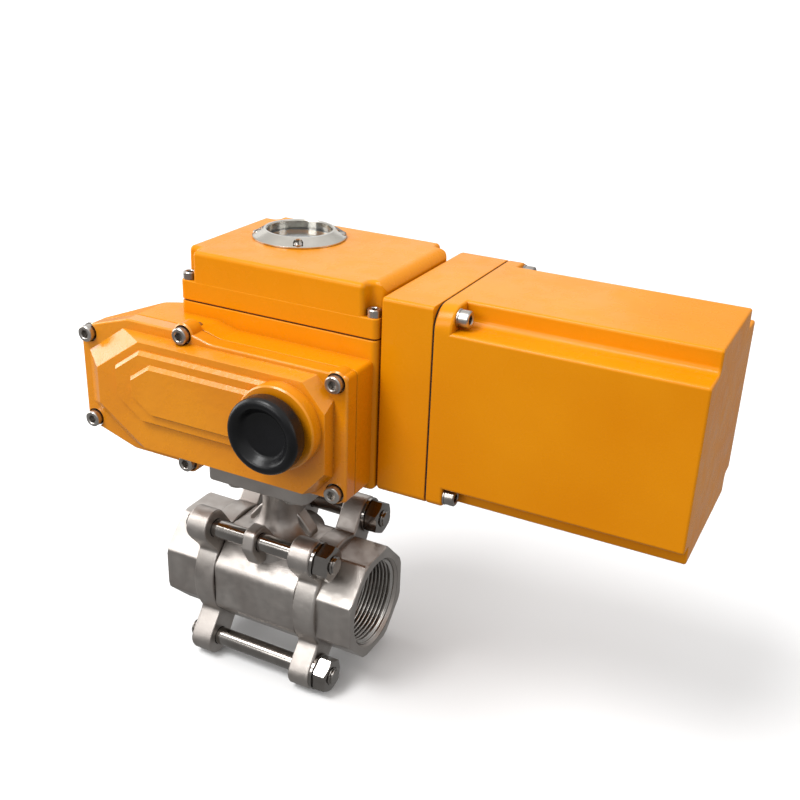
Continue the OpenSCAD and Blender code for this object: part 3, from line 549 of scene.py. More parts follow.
COVER_LO, COVER_HI = mm_box("top_cover")
GEAR_LO, GEAR_HI = mm_box("gear_cover")
KNOB_LO, KNOB_HI = mm_box("override_knob")
ADAPT_LO, ADAPT_HI = mm_box("adapter_plate")
SHELL_LO, SHELL_HI = mm_box("end_shell")
HOUSE_LO = mm_box("housing")[0]
RING_LO, RING_HI = mm_box("window_ring")
GASKET_LO = mm_box("cover_gasket")[0]
X0, X1 = COVER_LO.x, COVER_HI.x
Y0, Y1 = COVER_LO.y, COVER_HI.y
SEAM, TOP = COVER_LO.z, COVER_HI.z
FLOOR = ADAPT_LO.z
KNOB = Vector(((KNOB_LO.x + KNOB_HI.x) / 2, (KNOB_LO.z + KNOB_HI.z) / 2))
WINDOW = Vector(((RING_LO.x + RING_HI.x) / 2, (RING_LO.y + RING_HI.y) / 2))
GEAR_Z = (GEAR_LO.z + GEAR_HI.z) / 2
GEAR_BACK = GEAR_HI.y
GEAR_FLANGE = 8.3
FLANGE_Y = GEAR_BACK - GEAR_FLANGE
GEAR_SEAL = 0.6
WALL = 4.0
POCKET = 7.6
POCKET_Z = 174.2
WINDOW_SEAT_R = 20.1
SHELL_FLANGE = 8.4
FAR_CORNER_R = 11

# ------------------------------------------------------------------ top cover


def top_cover():
    base = prism(corners(rect(X0, Y0, X1, Y1), 3), "z", SEAM, POCKET_Z, 0.5, 0.7)
    p = POCKET
    outline = [(X0 + p, Y0, 2.6), (X1 - p, Y0, 2.6), (X1 - p, Y0 + p, 3), (X1, Y0 + p, 3.2),
               (X1, Y1 - p, 3.2), (X1 - p, Y1 - p, 3), (X1 - p, Y1, 2.6), (X0 + p, Y1, 2.6),
               (X0 + p, Y1 - p, 3), (X0, Y1 - p, 2.6), (X0, Y0 + p, 2.6), (X0 + p, Y0 + p, 3)]
    crown = prism(corners(outline, 3), "z", SEAM + 2, TOP, 0, 2.4, 6, 0.35)
    shell = union(base, crown)
    round_edge = 7.3
    edge_x, edge_z = X1 - round_edge, TOP - round_edge
    arc = [(edge_x + 1.01 * round_edge * math.cos(t), edge_z + 1.01 * round_edge * math.sin(t))
           for t in (math.pi / 2 * k / 12 for k in range(13))]
    outside = arc + [(edge_x, TOP + 5), (X1 + 5, TOP + 5), (X1 + 5, edge_z)]
    shell = cut(shell, prism(outside, "y", Y0 - 5, Y1 + 5))
    inner = corners(rect(X0 + WALL, Y0 + WALL, X1 - WALL, Y1 - WALL), 2)
    room = prism(inner, "z", SEAM - 1, TOP - 4.5, 0, 1)
    post, post_in = 8.6, 4.2
    posts = [prism(rect(x - post, y - post, x + post, y + post), "z", SEAM - 2, TOP)
             for x in (X0 + post_in, X1 - post_in) for y in (Y0 + post_in, Y1 - post_in)]
    room = cut(room, *posts)
    shell = cut(shell, room)
    opening = [(0, TOP - 10), (17, TOP - 10), (17, TOP - 2.5), (WINDOW_SEAT_R, TOP - 2.5),
               (WINDOW_SEAT_R, TOP + 2), (0, TOP + 2)]
    shell = cut(shell, lathe(opening, "z", WINDOW, 96))
    return show("top_cover_shell", shell, "body", PAINT, ["top_cover"])


# ------------------------------------------------------------------ gear cover and housing

GEAR_SCREWS = [(-84.7, 23.9), (-24.8, 34.5), (61.0, 28.4)]
OUTLINE_TOP = [(67.4, 32.8, 2.2), (-9, 32.8, 14), (-21, 35.9, 14), (-59.6, 35.9, 7),
               (-84, 28.4, 4.5), (-89.8, 24, 4)]

COUNTERBORE = 2.4
TRAIN_ROOM = fillet([(-67, 115, 8), (-56, 114, 3), (-46, 110, 5), (10, 110, 5), (24, 106.5, 6), (50, 107, 8),
                     (58, 115, 8), (58, 138, 8), (50, 147.4, 8), (24, 147.4, 6), (10, 143.4, 5),
                     (-46, 143.4, 5), (-56, 139, 3), (-67, 138, 8)], 4)


def gear_outline():
    """Flange outline, counter-clockwise in X and Z."""
    top = [(x, GEAR_Z + z, r) for x, z, r in OUTLINE_TOP]
    bottom = [(x, GEAR_Z - z, r) for x, z, r in reversed(OUTLINE_TOP)]
    return corners(top + bottom, 4, 8)


def lobes(a, b, r, rim=0.0):
    """Round bosses round the middle and right gear cover screws."""
    return [lathe([(0, a), (r - rim, a), (r, a + rim), (r, b), (0, b)], "y", (x, GEAR_Z + s * z), 48)
            for x, z in GEAR_SCREWS[1:] for s in (1, -1)]


def raised_step(x0, x1, h0, h1, front, back):
    """Raised plate with a slanted left end and chamfered edges, running under the knob boss."""
    mid = KNOB.y
    plan = [(x0, mid - h0), (x1, mid - h1), (KNOB.x, mid - h1),
            (KNOB.x, mid + h1), (x1, mid + h1), (x0, mid + h0)]
    shape = corners(plan, 0.9)
    return skin([(shape(1.7), front), (shape(0), front + 1.9), (shape(0), back)], "y")


def bevel_ring(x0, x1, x2, x3, h0, h1, h2):
    """Eight-sided outline of the raised field, with half heights h0 to h2 about the cover's middle."""
    below = [(x0, GEAR_Z - h0), (x1, GEAR_Z - h1), (x2, GEAR_Z - h1), (x3, GEAR_Z - h2)]
    above = [(x3, GEAR_Z + h2), (x2, GEAR_Z + h1), (x1, GEAR_Z + h1), (x0, GEAR_Z + h0)]
    return [Vector(p) for p in below + above]


def gear_cover():
    cover = prism(gear_outline(), "y", FLANGE_Y, GEAR_BACK, 1.1, 0.3)
    cover = union(cover, *lobes(FLANGE_Y, GEAR_BACK, 5.8, 0.7))
    low = bevel_ring(-85.1, -62, 51.1, 60.2, 14.4, 30.6, 19.9)
    high = bevel_ring(-73.7, -46, 48, 60.0, 9.8, 29, 15.2)
    field_y, second_y, third_y = FLANGE_Y - 8, FLANGE_Y - 10.7, FLANGE_Y - 12.7
    field = skin([(high, field_y), (low, FLANGE_Y), (low, FLANGE_Y + 3)], "y")
    field = bevelled(field, 0.4, 2, 20)
    cover = union(cover, field)
    second = raised_step(-61, -45, 8, 19.3, second_y, FLANGE_Y - 6)
    third = raised_step(-50, -37.5, 5, 13.7, third_y, FLANGE_Y - 8.5)
    boss_r, boss_y = 21.0, GEAR_LO.y
    boss = lathe([(0, boss_y), (boss_r - 0.7, boss_y), (boss_r, boss_y + 0.7), (boss_r, FLANGE_Y - 5),
                  (0, FLANGE_Y - 5)], "y", KNOB, 90)
    cover = union(cover, union(second, union(third, boss)))
    spots = [cylinder(5.0, FLANGE_Y - 10, FLANGE_Y + COUNTERBORE, "y", (x, GEAR_Z + s * z), 44)
             for x, z in GEAR_SCREWS for s in (1, -1)]
    cover = cut(cover, *spots)
    room = prism(TRAIN_ROOM, "y", FLANGE_Y - 5.4, GEAR_BACK + 1)
    seal_r, shaft_r = 8, 5.2
    bore = lathe([(0, boss_y - 1), (seal_r, boss_y - 1), (seal_r, boss_y + 3), (shaft_r, boss_y + 3),
                  (shaft_r, GEAR_BACK + 1), (0, GEAR_BACK + 1)], "y", KNOB, 48)
    cover = cut(cover, room, bore)
    return show("gear_cover_casting", cover, "body", PAINT_CAST, ["gear_cover"], 28)


def gear_cover_seal():
    """Gear cover gasket, drawn half a millimetre inside the flange."""
    outline = gear_outline()
    seal = prism(lambda depth: outline(depth + 0.5), "y", GEAR_BACK, GEAR_BACK + GEAR_SEAL)
    seal = cut(seal, prism(TRAIN_ROOM, "y", GEAR_BACK - 1, GEAR_BACK + 2))
    return show("gear_cover_seal", seal, "body", RUBBER, ["gear_cover_gasket"])


def housing():
    body = prism(corners(rect(X0, Y0, X1, Y1), 3), "z", HOUSE_LO.z + 7.9, GASKET_LO.z, 2.2, 0.6)
    front = GEAR_BACK + GEAR_SEAL
    bulge = prism(gear_outline(), "y", front, Y0 + 6, 0.5, 0)
    box = prism(rect(X0 + 0.5, Y0 - 30, X1 + 40, Y0 + 20), "z", 60, 190)
    bulge = common(bulge, box)
    lobe = prism(gear_outline(), "y", front, -10.7, 0.5, 0)
    left, right = -91, X0 + 1.3
    plan = [(left, front - 1, 0), (right, front - 1, 0), (right, -12, 0), (-46, -12, 4), (-54, -15.3, 10),
            (-63, -21, 10), (-74, -30, 10), (-84, -38, 4), (left, front + 1.5, 0)]
    lobe = common(lobe, prism(fillet(plan, 4), "z", 60, 190))
    barrel_x = -55.7
    barrel = lathe([(0, front + 4), (19.5, front + 4), (19.5, 21), (18.6, 23), (16.8, 24), (0, 24)], "y",
                   (barrel_x, KNOB.y), 64)
    foot_r, foot_z = 31, HOUSE_LO.z
    foot = lathe([(0, foot_z), (foot_r - 0.8, foot_z), (foot_r, foot_z + 0.8), (foot_r, foot_z + 10),
                  (0, foot_z + 10)], "z", (0, 0), 96)
    body = union(body, bulge, lobe, barrel, foot)
    inner = corners(rect(X0 + WALL, Y0 + WALL, X1 - WALL, Y1 - WALL), 2)
    room = prism(inner, "z", FLOOR + 5, SEAM + 5)
    wheel_room = prism(rect(-36, front + 5, 48, Y0 + WALL + 1), "z", GEAR_Z - 22, GEAR_Z + 26)
    barrel_bore = cylinder(15.9, front - 1, 20, "y", (barrel_x, KNOB.y), 48)
    shaft_bore = cylinder(14, foot_z - 1, FLOOR + 10)
    worm_bore = cylinder(7, front - 1, front + 9, "y", KNOB, 32)
    body = cut(body, room, wheel_room, barrel_bore, shaft_bore, worm_bore)
    return show("housing_casting", body, "body", PAINT, ["housing"])


# ------------------------------------------------------------------ end box


def channel_outline(wall=0.0):
    """End box outline with a screw channel at each corner, counter-clockwise in Y and Z."""
    y0, z0 = SHELL_LO.y + wall, SHELL_LO.z + wall
    y1, z1 = SHELL_HI.y - wall, SHELL_HI.z - wall
    uy, uz, ly, lz = 16.9, 10.9, 9.4, 10.1
    points = [(y0 + ly, z0, 1.6), (y1 - ly, z0, 1.6), (y1 - ly, z0 + lz, 2), (y1, z0 + lz, 1.6),
              (y1, z1 - uz, 1.6), (y1 - uy, z1 - uz, 3.6), (y1 - uy, z1, 1.6), (y0 + uy, z1, 1.6),
              (y0 + uy, z1 - uz, 3.6), (y0, z1 - uz, 1.6), (y0, z0 + lz, 1.6), (y0 + ly, z0 + lz, 2)]
    return fillet(points, 2, 6)


def end_shell():
    y0, y1, z0, z1 = SHELL_LO.y, SHELL_HI.y, SHELL_LO.z, SHELL_HI.z
    plan = [(y0, z0, 3.5), (y1, z0, 3.5), (y1, z1, FAR_CORNER_R), (y0, z1, FAR_CORNER_R)]
    flange = prism(corners(plan, 3.5), "x", SHELL_LO.x, SHELL_LO.x + SHELL_FLANGE, 0.5, 1.2)
    long_box = prism(channel_outline(), "x", SHELL_LO.x + 3, SHELL_HI.x, 0, 1.2)
    shell = union(flange, long_box)
    shell = cut(shell, prism(channel_outline(WALL), "x", SHELL_LO.x - 1, SHELL_HI.x - WALL))
    return show("end_box_shell", shell, "body", PAINT, ["end_shell"])


def adapter():
    y0, y1, z0, z1 = ADAPT_LO.y, ADAPT_HI.y, ADAPT_LO.z, ADAPT_HI.z
    plan = [(y0, z0), (y1, z0), (y1, z1, FAR_CORNER_R), (y0, z1, 2)]
    plate = prism(corners(plan, 3.5), "x", ADAPT_LO.x, ADAPT_HI.x, 1.0, 0.4)
    plate = cut(plate, prism(channel_outline(5), "x", ADAPT_LO.x + 6, ADAPT_HI.x + 1))
    wire_r, wire_spot = 12, (20, 130)
    plate = cut(plate, cylinder(wire_r, ADAPT_LO.x - 1, ADAPT_LO.x + 7, "x", wire_spot, 40))
    return show("adapter_casting", plate, "body", PAINT, ["adapter_plate"])


# ------------------------------------------------------------------ screws, knob, window


def hexagon(flats, u=0.0, v=0.0, turn=0.0):
    r = flats / math.sqrt(3)
    angles = [math.radians(turn + 60 * k) for k in range(6)]
    return [Vector((u + r * math.cos(a), v + r * math.sin(a))) for a in angles]


def socket_head(r, height, key, length, shank):
    """Socket head cap screw along +Z, seat at 0."""
    head = lathe([(0, -length), (shank - 0.4, -length), (shank, -length + 0.5), (shank, 0), (r - 0.15, 0),
                  (r, 0.25), (r, height - 0.5), (r - 0.5, height), (0, height)], "z", (0, 0), 40)
    pit = prism(hexagon(key), "z", height - 0.62 * height, height + 1)
    pit_r = key * 0.58
    rim = lathe([(0, height - 0.35), (pit_r, height - 0.35), (pit_r + 0.5, height + 0.2),
                 (0, height + 0.2)], "z", (0, 0), 40)
    return cut(head, pit, rim)


def ring_washer(r_in, r_out, thick):
    c = 0.15
    profile = [(r_in, 0), (r_out - c, 0), (r_out, c), (r_out, thick - c), (r_out - c, thick), (r_in, thick)]
    return lathe(profile, "z", (0, 0), 40)


def screw_on_washer(washer, head):
    """Socket head cap screw with the washer (bore radius, outer radius, thickness) under its head."""
    lift = Matrix.Translation((0, 0, washer[2]))
    return joined([ring_washer(*washer), copies(socket_head(*head), [lift])])


def toward(axis, position):
    """Matrix that lays +Z along the axis and moves it into place."""
    return Matrix.Translation(position) @ Vector(axis).to_track_quat("Z", "Y").to_matrix().to_4x4()


def screws():
    seat = FLANGE_Y + COUNTERBORE
    spots = [toward((0, -1, 0), (x, seat, GEAR_Z + s * z)) for x, z in GEAR_SCREWS for s in (1, -1)]
    piece = screw_on_washer((2.7, 4.75, 1.0), (4.25, 4.9, 4, 13, 2.45))
    show("gear_cover_cap_screws", copies(piece, spots), "body", SCREW_STEEL,
         ["gear_cover_screws"], 40)
    half = POCKET / 2
    spots = [Matrix.Translation((x, y, POCKET_Z))
             for x in (X0 + half, X1 - half) for y in (Y0 + half, Y1 - half)]
    show("cover_cap_screws", copies(socket_head(3.4, 3.9, 3, 26, 1.95), spots), "body",
         SCREW_STEEL, ["cover_screws"], 40)
    y0, y1, z0, z1 = SHELL_LO.y, SHELL_HI.y, SHELL_LO.z, SHELL_HI.z
    seat = SHELL_LO.x + SHELL_FLANGE
    spots = [toward((1, 0, 0), (seat, y, z1 - 5.65)) for y in (y0 + 8.45, y1 - 8.45)]
    spots += [toward((1, 0, 0), (seat, y, z0 + 4.95)) for y in (y0 + 4.7, y1 - 4.7)]
    piece = screw_on_washer((2.4, 4.4, 0.8), (4.1, 4.9, 4, 19, 2.45))
    show("end_box_cap_screws", copies(piece, spots), "body", SCREW_STEEL,
         ["shell_screws"], 40)


def knob():
    front, back = KNOB_LO.y, KNOB_HI.y
    r = (KNOB_HI.x - KNOB_LO.x) / 2
    depth = 5.0
    profile = [(0, back), (r - 2.6, back), (r - 1.4, back - 0.6), (r - 0.5, back - 2.0)]
    profile += [(r, back - 3.4), (r, front + 3.2)]
    for k in range(1, 9):
        t = math.pi / 2 * k / 8
        profile.append((r - 2.9 * (1 - math.cos(t)), front + 3.0 - 3.0 * math.sin(t)))
    lip = r - 3.6
    for k in range(0, 13):
        s = k / 12
        ease = s * s * (3 - 2 * s)
        profile.append((lip - s * 5.0, front + 0.12 + ease * (depth - 0.6)))
    for k in range(1, 7):
        dish = front + 0.12 + depth - 0.6 + 0.5 * math.sin(math.pi / 2 * k / 6)
        profile.append(((lip - 5.0) * (1 - k / 6), dish))
    return show("override_knob_moulding", lathe(profile, "y", KNOB, 128), "worm", KNOB_BLACK,
                ["override_knob"], 50)


def window():
    low, high = RING_LO.z, RING_HI.z
    r = (RING_HI.x - RING_LO.x) / 2
    r_in, seat, screw_circle = 17.0, low + 0.42, 22
    ring = lathe([(WINDOW_SEAT_R, low), (r - 0.2, low), (r, low + 0.2), (r, low + 0.9), (r - 0.6, low + 1.4),
                  (r_in + 2.1, high - 0.25), (r_in + 1.7, high), (r_in + 0.6, high), (r_in, high - 0.6),
                  (r_in, seat), (WINDOW_SEAT_R, seat)], "z", WINDOW, 128)
    angles = [math.radians(a) for a in (30, 120, 210, 300)]
    spots = [WINDOW + screw_circle * Vector((math.cos(a), math.sin(a))) for a in angles]
    sink = [(0, low + 1.4), (2.5, low + 1.4), (2.6, high + 1), (0, high + 1)]
    sinks = [lathe(sink, "z", p, 32) for p in spots]
    for a, p in zip(angles, spots):
        out, side = Vector((math.cos(a), math.sin(a))), Vector((-math.sin(a), math.cos(a)))
        mouth = [p - side * 2.5, p + out * 5 - side * 2.5, p + out * 5 + side * 2.5, p + side * 2.5]
        sinks.append(prism(mouth, "z", low + 1.42, high + 1.2))
    show("window_bezel", cut(ring, *sinks), "body", RING_STEEL, ["window_ring"], 30)
    head = lathe([(0, -3.6), (1.45, -3.6), (1.45, 1.4), (2.3, 1.4), (2.4, 1.55), (2.35, 2.2), (1.9, 2.75),
                  (1.0, 2.95), (0, 3.0)], "z", (0, 0), 32)
    head = cut(head, prism(rect(-3, -0.35, 3, 0.35), "z", 2.2, 4))
    turns = [Matrix.Translation((p.x, p.y, low)) @ Matrix.Rotation(0.6 * i + 0.4, 4, "Z")
             for i, p in enumerate(spots)]
    show("bezel_screws", copies(head, turns), "body", SCREW_STEEL,
         ["ring_screws"], 40)
    glass_lo, glass_hi = mm_box("window_glass")
    r = 20.0
    glass = lathe([(0, glass_lo.z), (r - 0.3, glass_lo.z), (r, glass_lo.z + 0.3), (r, glass_hi.z - 0.3),
                   (r - 0.3, glass_hi.z), (0, glass_hi.z)], "z", WINDOW, 96)
    show("sight_glass", glass, "body", GLASS, ["window_glass"], 30)


def dial():
    """Indicator dial: dished disc, raised pointer and scale marks."""
    low = mm_box("indicator_disc")[0].z
    r = 15.5
    disc = lathe([(0, low), (r - 0.3, low), (r, low + 0.3), (r, low + 1.3), (r - 0.4, low + 1.6),
                  (r - 1.6, low + 1.6), (r - 2.0, low + 1.2), (0, low + 1.2)], "z", WINDOW, 96)
    show("indicator_dial", disc, "indicator", DIAL_PLASTIC, ["indicator_disc"], 30)
    c = WINDOW
    arrow = [(c.x - 1.6, c.y - 10.5), (c.x + 1.6, c.y - 10.5), (c.x + 1.6, c.y + 6), (c.x + 3.6, c.y + 6),
             (c.x, c.y + 12), (c.x - 3.6, c.y + 6), (c.x - 1.6, c.y + 6)]
    pieces = [prism(fillet(arrow, 0.4, 3), "z", low + 1.15, low + 2.3, 0, 0.2)]
    scale_r, mark_count = 12.2, 24
    hidden_by_pointer = (5, 6, 7)
    for k in range(mark_count):
        if k in hidden_by_pointer:
            continue
        a = TAU * k / mark_count
        length = 1.9 if k % 6 == 0 else 1.0
        mark = rect(-length / 2, -0.22, length / 2, 0.22)
        cos, sin = math.cos(a), math.sin(a)
        at = [(c.x + (scale_r + u) * cos - v * sin, c.y + (scale_r + u) * sin + v * cos) for u, v in mark]
        pieces.append(prism(at, "z", low + 1.15, low + 1.45))
    show("indicator_pointer", joined(pieces), "indicator", POINTER, (), 30)


# ------------------------------------------------------------------ valve

HALF = mm_box("right_end_cap")[1].x
TIE_Y, TIE_Z = 27.7, 35.7
TIE_SPOTS = [(sy * TIE_Y, sz * TIE_Z) for sy in (1, -1) for sz in (1, -1)]
BODY_HALF = 26
EAR_FACE = 39
G_PITCH = 2.309
TIE_PITCH = 1.5


def octagon(flats, corner, steps=5, turn=22.5):
    r = flats / 2 / math.cos(math.radians(22.5))
    angles = [math.radians(turn + 45 * k) for k in range(8)]
    points = [(r * math.cos(a), r * math.sin(a), corner) for a in angles]
    return corners(points, corner, steps)


def flange_loop(disc, ear, arm):
    """Round flange with four ears at the tie bolts, blended."""
    reach = math.hypot(TIE_Y, TIE_Z)
    count = 288
    radii = []
    for k in range(count):
        a = TAU * k / count
        best = disc
        for sy in (1, -1):
            for sz in (1, -1):
                off = a - math.atan2(sz * TIE_Z, sy * TIE_Y)
                off = (off + math.pi) % TAU - math.pi
                if abs(off) > math.pi / 3:
                    continue
                side = abs(reach * math.sin(off))
                if side < ear:
                    best = max(best, reach * math.cos(off) + math.sqrt(ear * ear - side * side))
                if abs(math.sin(off)) > 1e-4:
                    best = max(best, min(arm / abs(math.sin(off)), reach))
        radii.append(best)
    radii = np.array(radii)
    for _ in range(3):
        radii = (np.roll(radii, 1) + 2 * radii + np.roll(radii, -1)) / 4
    return [Vector((radii[k] * math.cos(TAU * k / count), radii[k] * math.sin(TAU * k / count)))
            for k in range(count)]


def helix(r_root, r_crest, pitch, a, b, steps=72, per_turn=8, r_base=0.0, fade=1.2):
    """Thread along +Z from a to b: a tube for r_base > 0 outside the ridge, a rod for r_base = 0."""
    count = max(8, int((b - a) / pitch * per_turn))
    bm = bmesh.new()
    rows = []
    for i in range(count + 1):
        w = a + (b - a) * i / count
        blend = min(1, (w - a) / fade + 0.0001, (b - w) / fade + 0.0001)
        row = []
        for k in range(steps):
            phase = (w / pitch - k / steps) % 1.0
            ridge = 1 - abs(2 * phase - 1)
            ridge = min(1, max(0, ridge * 1.25 - 0.125))
            r = r_root + (r_crest - r_root) * ridge * blend
            t = TAU * k / steps
            row.append(bm.verts.new((r * math.cos(t), r * math.sin(t), w)))
        rows.append(row)
    if r_base:
        for w in (b, a):
            rows.append([bm.verts.new((p.x, p.y, w)) for p in circle(0, 0, r_base, steps)])
        rows.append(rows[0])
    for low, high in zip(rows, rows[1:]):
        for k in range(steps):
            j = (k + 1) % steps
            bm.faces.new((low[k], low[j], high[j], high[k]))
    if not r_base:
        bm.faces.new(rows[0][::-1])
        bm.faces.new(rows[-1])
    bmesh.ops.recalc_face_normals(bm, faces=bm.faces)
    return solid(bm)


def end_caps():
    flange = prism(flange_loop(33, 10.5, 8.5), "x", BODY_HALF, EAR_FACE, 0.8, 1.6, 4)
    barrel = prism(octagon(59, 2.2), "x", 30, HALF, 0, 0.8)
    cone = lathe([(0, 20), (42, 20), (42, HALF - 9), (30.4, HALF), (0, HALF)], "x", (0, 0), 128)
    cap = union(flange, common(barrel, cone))
    cap = union(cap, cylinder(24.5, 19.6, 30, "x", (0, 0), 96))
    seat_r, flow_r, port_r = 21.37, 16, 24.0
    bore = lathe([(0, 9.3), (seat_r, 9.3), (seat_r, 22), (flow_r, 22), (flow_r, 36), (17.5, 37.6),
                  (port_r, 39), (port_r, HALF - 2.2), (port_r + 1.4, HALF - 0.3), (port_r + 1.4, HALF + 1),
                  (0, HALF + 1)], "x", (0, 0), 88)
    holes = [cylinder(5.3, 20.3, 50.1, "x", spot, 36) for spot in TIE_SPOTS]
    cap = cut(cap, bore, *holes)
    mirrored = copies(duplicate(cap), [Matrix.Rotation(math.pi, 4, "Z")])
    show("right_cap_casting", cap, "body", CAST_STEEL, ["right_end_cap"], 30)
    show("left_cap_casting", mirrored, "body", CAST_STEEL, ["left_end_cap"], 30)
    thread = helix(port_r - 0.1, port_r - 1.5, G_PITCH, EAR_FACE + 0.2, HALF - 1.6, 96, 10,
                   port_r + 0.02, 1.6)
    right = copies(duplicate(thread), [toward((1, 0, 0), (0, 0, 0))])
    left = copies(thread, [toward((-1, 0, 0), (0, 0, 0))])
    show("right_port_thread", right, "body", TURNED_X, (), 60)
    show("left_port_thread", left, "body", TURNED_X, (), 60)


def duplicate(obj):
    """Second scratch object with its own mesh."""
    made = bpy.data.objects.new("scratch", obj.data.copy())
    bpy.context.scene.collection.objects.link(made)
    return made


def centre_body():
    body = prism(octagon(62, 7, 8), "x", -BODY_HALF, BODY_HALF, 0.8, 0.8)
    top = mm_box("valve_body")[1].z
    pad = prism(corners(rect(-31, -27.5, 31, 27.5), 4), "z", top - 12, top, 1.2, 0.6)
    neck = lathe([(0, 20), (24, 20), (23, 30.5), (17.5, 32.5), (13.6, 37), (12.0, 42), (11.5, 47),
                  (11.5, 57), (12.4, 61.5), (16.5, 66), (0, 66)], "z", (0, 0), 72)
    gusset = [(-22, 20), (22, 20), (20, 34, 4), (11, 45, 10), (-11, 45, 10), (-20, 34, 4)]
    web = prism(corners(gusset, 3), "y", -4, 4, 1.2, 1.2)
    body = union(body, pad, neck, web)
    for side in (1, -1):
        y, z = side * TIE_Y, TIE_Z
        arm = [(y + side * 9, z - 2, 3), (y + side * 6, z + 7.6, 4), (y - side * 4, z + 8.6, 4),
               (y - side * 16, z - 6, 3), (y - side * 12, z - 16, 1), (y + side * 3, z - 13, 3)]
        if side > 0:
            arm = arm[::-1]
        body = union(body, prism(corners(arm[::-1], 3, 6), "x", -3.5, 3.5, 1.0, 1.0))
    through = BODY_HALF + 1
    cavity = cylinder(24.8, -through, through, "x", (0, 0), 96)
    stem_r, nut_r = 8.05, 12
    stem = lathe([(0, 0), (stem_r, 0), (stem_r, top - 9), (nut_r, top - 9), (nut_r, top + 1), (0, top + 1)])
    holes = [cylinder(5.4, -through, through, "x", (s * TIE_Y, TIE_Z), 32) for s in (1, -1)]
    body = cut(body, cavity, stem, *holes)
    return show("valve_centre_casting", body, "body", CAST_STEEL, ["valve_body"], 30)


def tie_bolts():
    """Studs with real thread ends, and a washer and nut on the right end of each."""
    lo, hi = mm_box("tie_bolts")
    x0, x1 = lo.x, hi.x
    root_r, crest_r, bite = 4.2, 4.95, 0.8
    rod = cylinder(crest_r, x0 + 13.5, x1 - 14, "x", (0, 0), 40)
    left = helix(root_r, crest_r, TIE_PITCH, -14.0, 0.0, 40, 8, 0, bite)
    left = copies(left, [toward((-1, 0, 0), (x0, 0, 0))])
    right = helix(root_r, crest_r, TIE_PITCH, -14.5, 0.0, 40, 8, 0, bite)
    right = copies(right, [toward((1, 0, 0), (x1, 0, 0))])
    washer_t = 1.6
    washer = copies(ring_washer(5.1, 10.0, washer_t), [toward((1, 0, 0), (EAR_FACE, 0, 0))])
    nut_a, nut_b, nut_r = EAR_FACE + washer_t, x1 - 2.0, 9.9
    nut = prism(hexagon(17, 0, 0, 12), "x", nut_a, nut_b)
    cone = lathe([(0, nut_a), (nut_r - 1.5, nut_a), (nut_r, nut_a + 0.9), (nut_r, nut_b - 0.9),
                  (nut_r - 1.7, nut_b), (0, nut_b)], "x", (0, 0), 64)
    nut = cut(common(nut, cone), cylinder(5.0, 38, 60, "x", (0, 0), 32))
    piece = joined([rod, left, right, washer, nut])
    spots = [Matrix.Translation((0, y, z)) @ Matrix.Rotation(0.35 * (i + 1), 4, "X")
             for i, (y, z) in enumerate(TIE_SPOTS)]
    return show("tie_bolt_set", copies(piece, spots), "body", ROD_STEEL,
                ["tie_bolts"], 35)


def pad_bolts():
    """Four M6 hex bolts under the pad, on the F05 bolt circle."""
    head_h, head_r, circle_r = 4, 5.75, 25
    seat = mm_box("mounting_bolts")[0].z + head_h
    head = common(prism(hexagon(10), "z", -head_h, 0),
                  lathe([(0, -head_h), (4.7, -head_h), (head_r, -3.3), (head_r, 0), (0, 0)],
                        "z", (0, 0), 48))
    shank = lathe([(0, -0.2), (2.95, -0.2), (2.95, 20.5), (2.5, 21), (0, 21)], "z", (0, 0), 32)
    piece = joined([head, shank])
    spots = []
    for a in (math.radians(45 + 90 * k) for k in range(4)):
        spot = Matrix.Translation((circle_r * math.cos(a), circle_r * math.sin(a), seat))
        spots.append(spot @ Matrix.Rotation(a * 0.7, 4, "Z"))
    return show("pad_bolt_set", copies(piece, spots), "body", SCREW_STEEL,
                ["mounting_bolts"], 35)


def glands():
    """Two M20 cable glands on the back wall: threaded body, hex nut and ribbed dome."""
    lo, hi = mm_box("cable_glands")
    z = (lo.z + hi.z) / 2
    wall, inside = Y1, Y1 - WALL
    wire_r, thread_r, nut_r, nut_y = 5, 9.9, 13.8, wall + 6
    made = []
    for x in (-12.0, 22.0):
        body = lathe([(wire_r, inside), (thread_r - 0.5, inside), (thread_r, inside + 0.6),
                      (thread_r, wall + 0.4), (wire_r, wall + 0.4)], "y", (x, z), 48)
        cone = lathe([(0, wall), (nut_r - 0.8, wall), (nut_r, wall + 0.8), (nut_r, nut_y - 1),
                      (nut_r - 1.2, nut_y), (0, nut_y)], "y", (x, z), 64)
        nut = common(prism(hexagon(23.9, x, z, 0), "y", wall, nut_y), cone)
        nut = cut(nut, cylinder(wire_r, wall - 1, nut_y + 1, "y", (x, z), 48))
        ribs = []
        count = 96
        for k in range(count):
            r = 11.5 - (0.45 if k % 8 < 3 else 0.0)
            ribs.append(Vector((x + r * math.cos(TAU * k / count), z + r * math.sin(TAU * k / count))))
        dome = prism(ribs, "y", wall + 6.2, wall + 16, 0, 2.2, 5)
        mouth = [(0, wall + 5), (wire_r, wall + 5), (wire_r, wall + 14),
                 (6.4, wall + 16.5), (0, wall + 16.5)]
        dome = cut(dome, lathe(mouth, "y", (x, z), 48))
        made += [body, nut, dome]
    return show("cable_gland_set", joined(made), "body", DARK_PLASTIC, ["cable_glands"], 35)


top_cover()
gear_cover()
gear_cover_seal()
housing()
end_shell()
adapter()
screws()
knob()
window()
dial()
centre_body()
end_caps()
tie_bolts()
pad_bolts()
glands()

for node in frame["nodes"].values():
    if not node.hide_render:
        for polygon in node.data.polygons:
            polygon.use_smooth = True
        node.data.set_sharp_from_angle(angle=math.radians(30))

# ------------------------------------------------------------------ stage

VALVE_FOOT = mm_box("left_end_cap")[0].z * MM


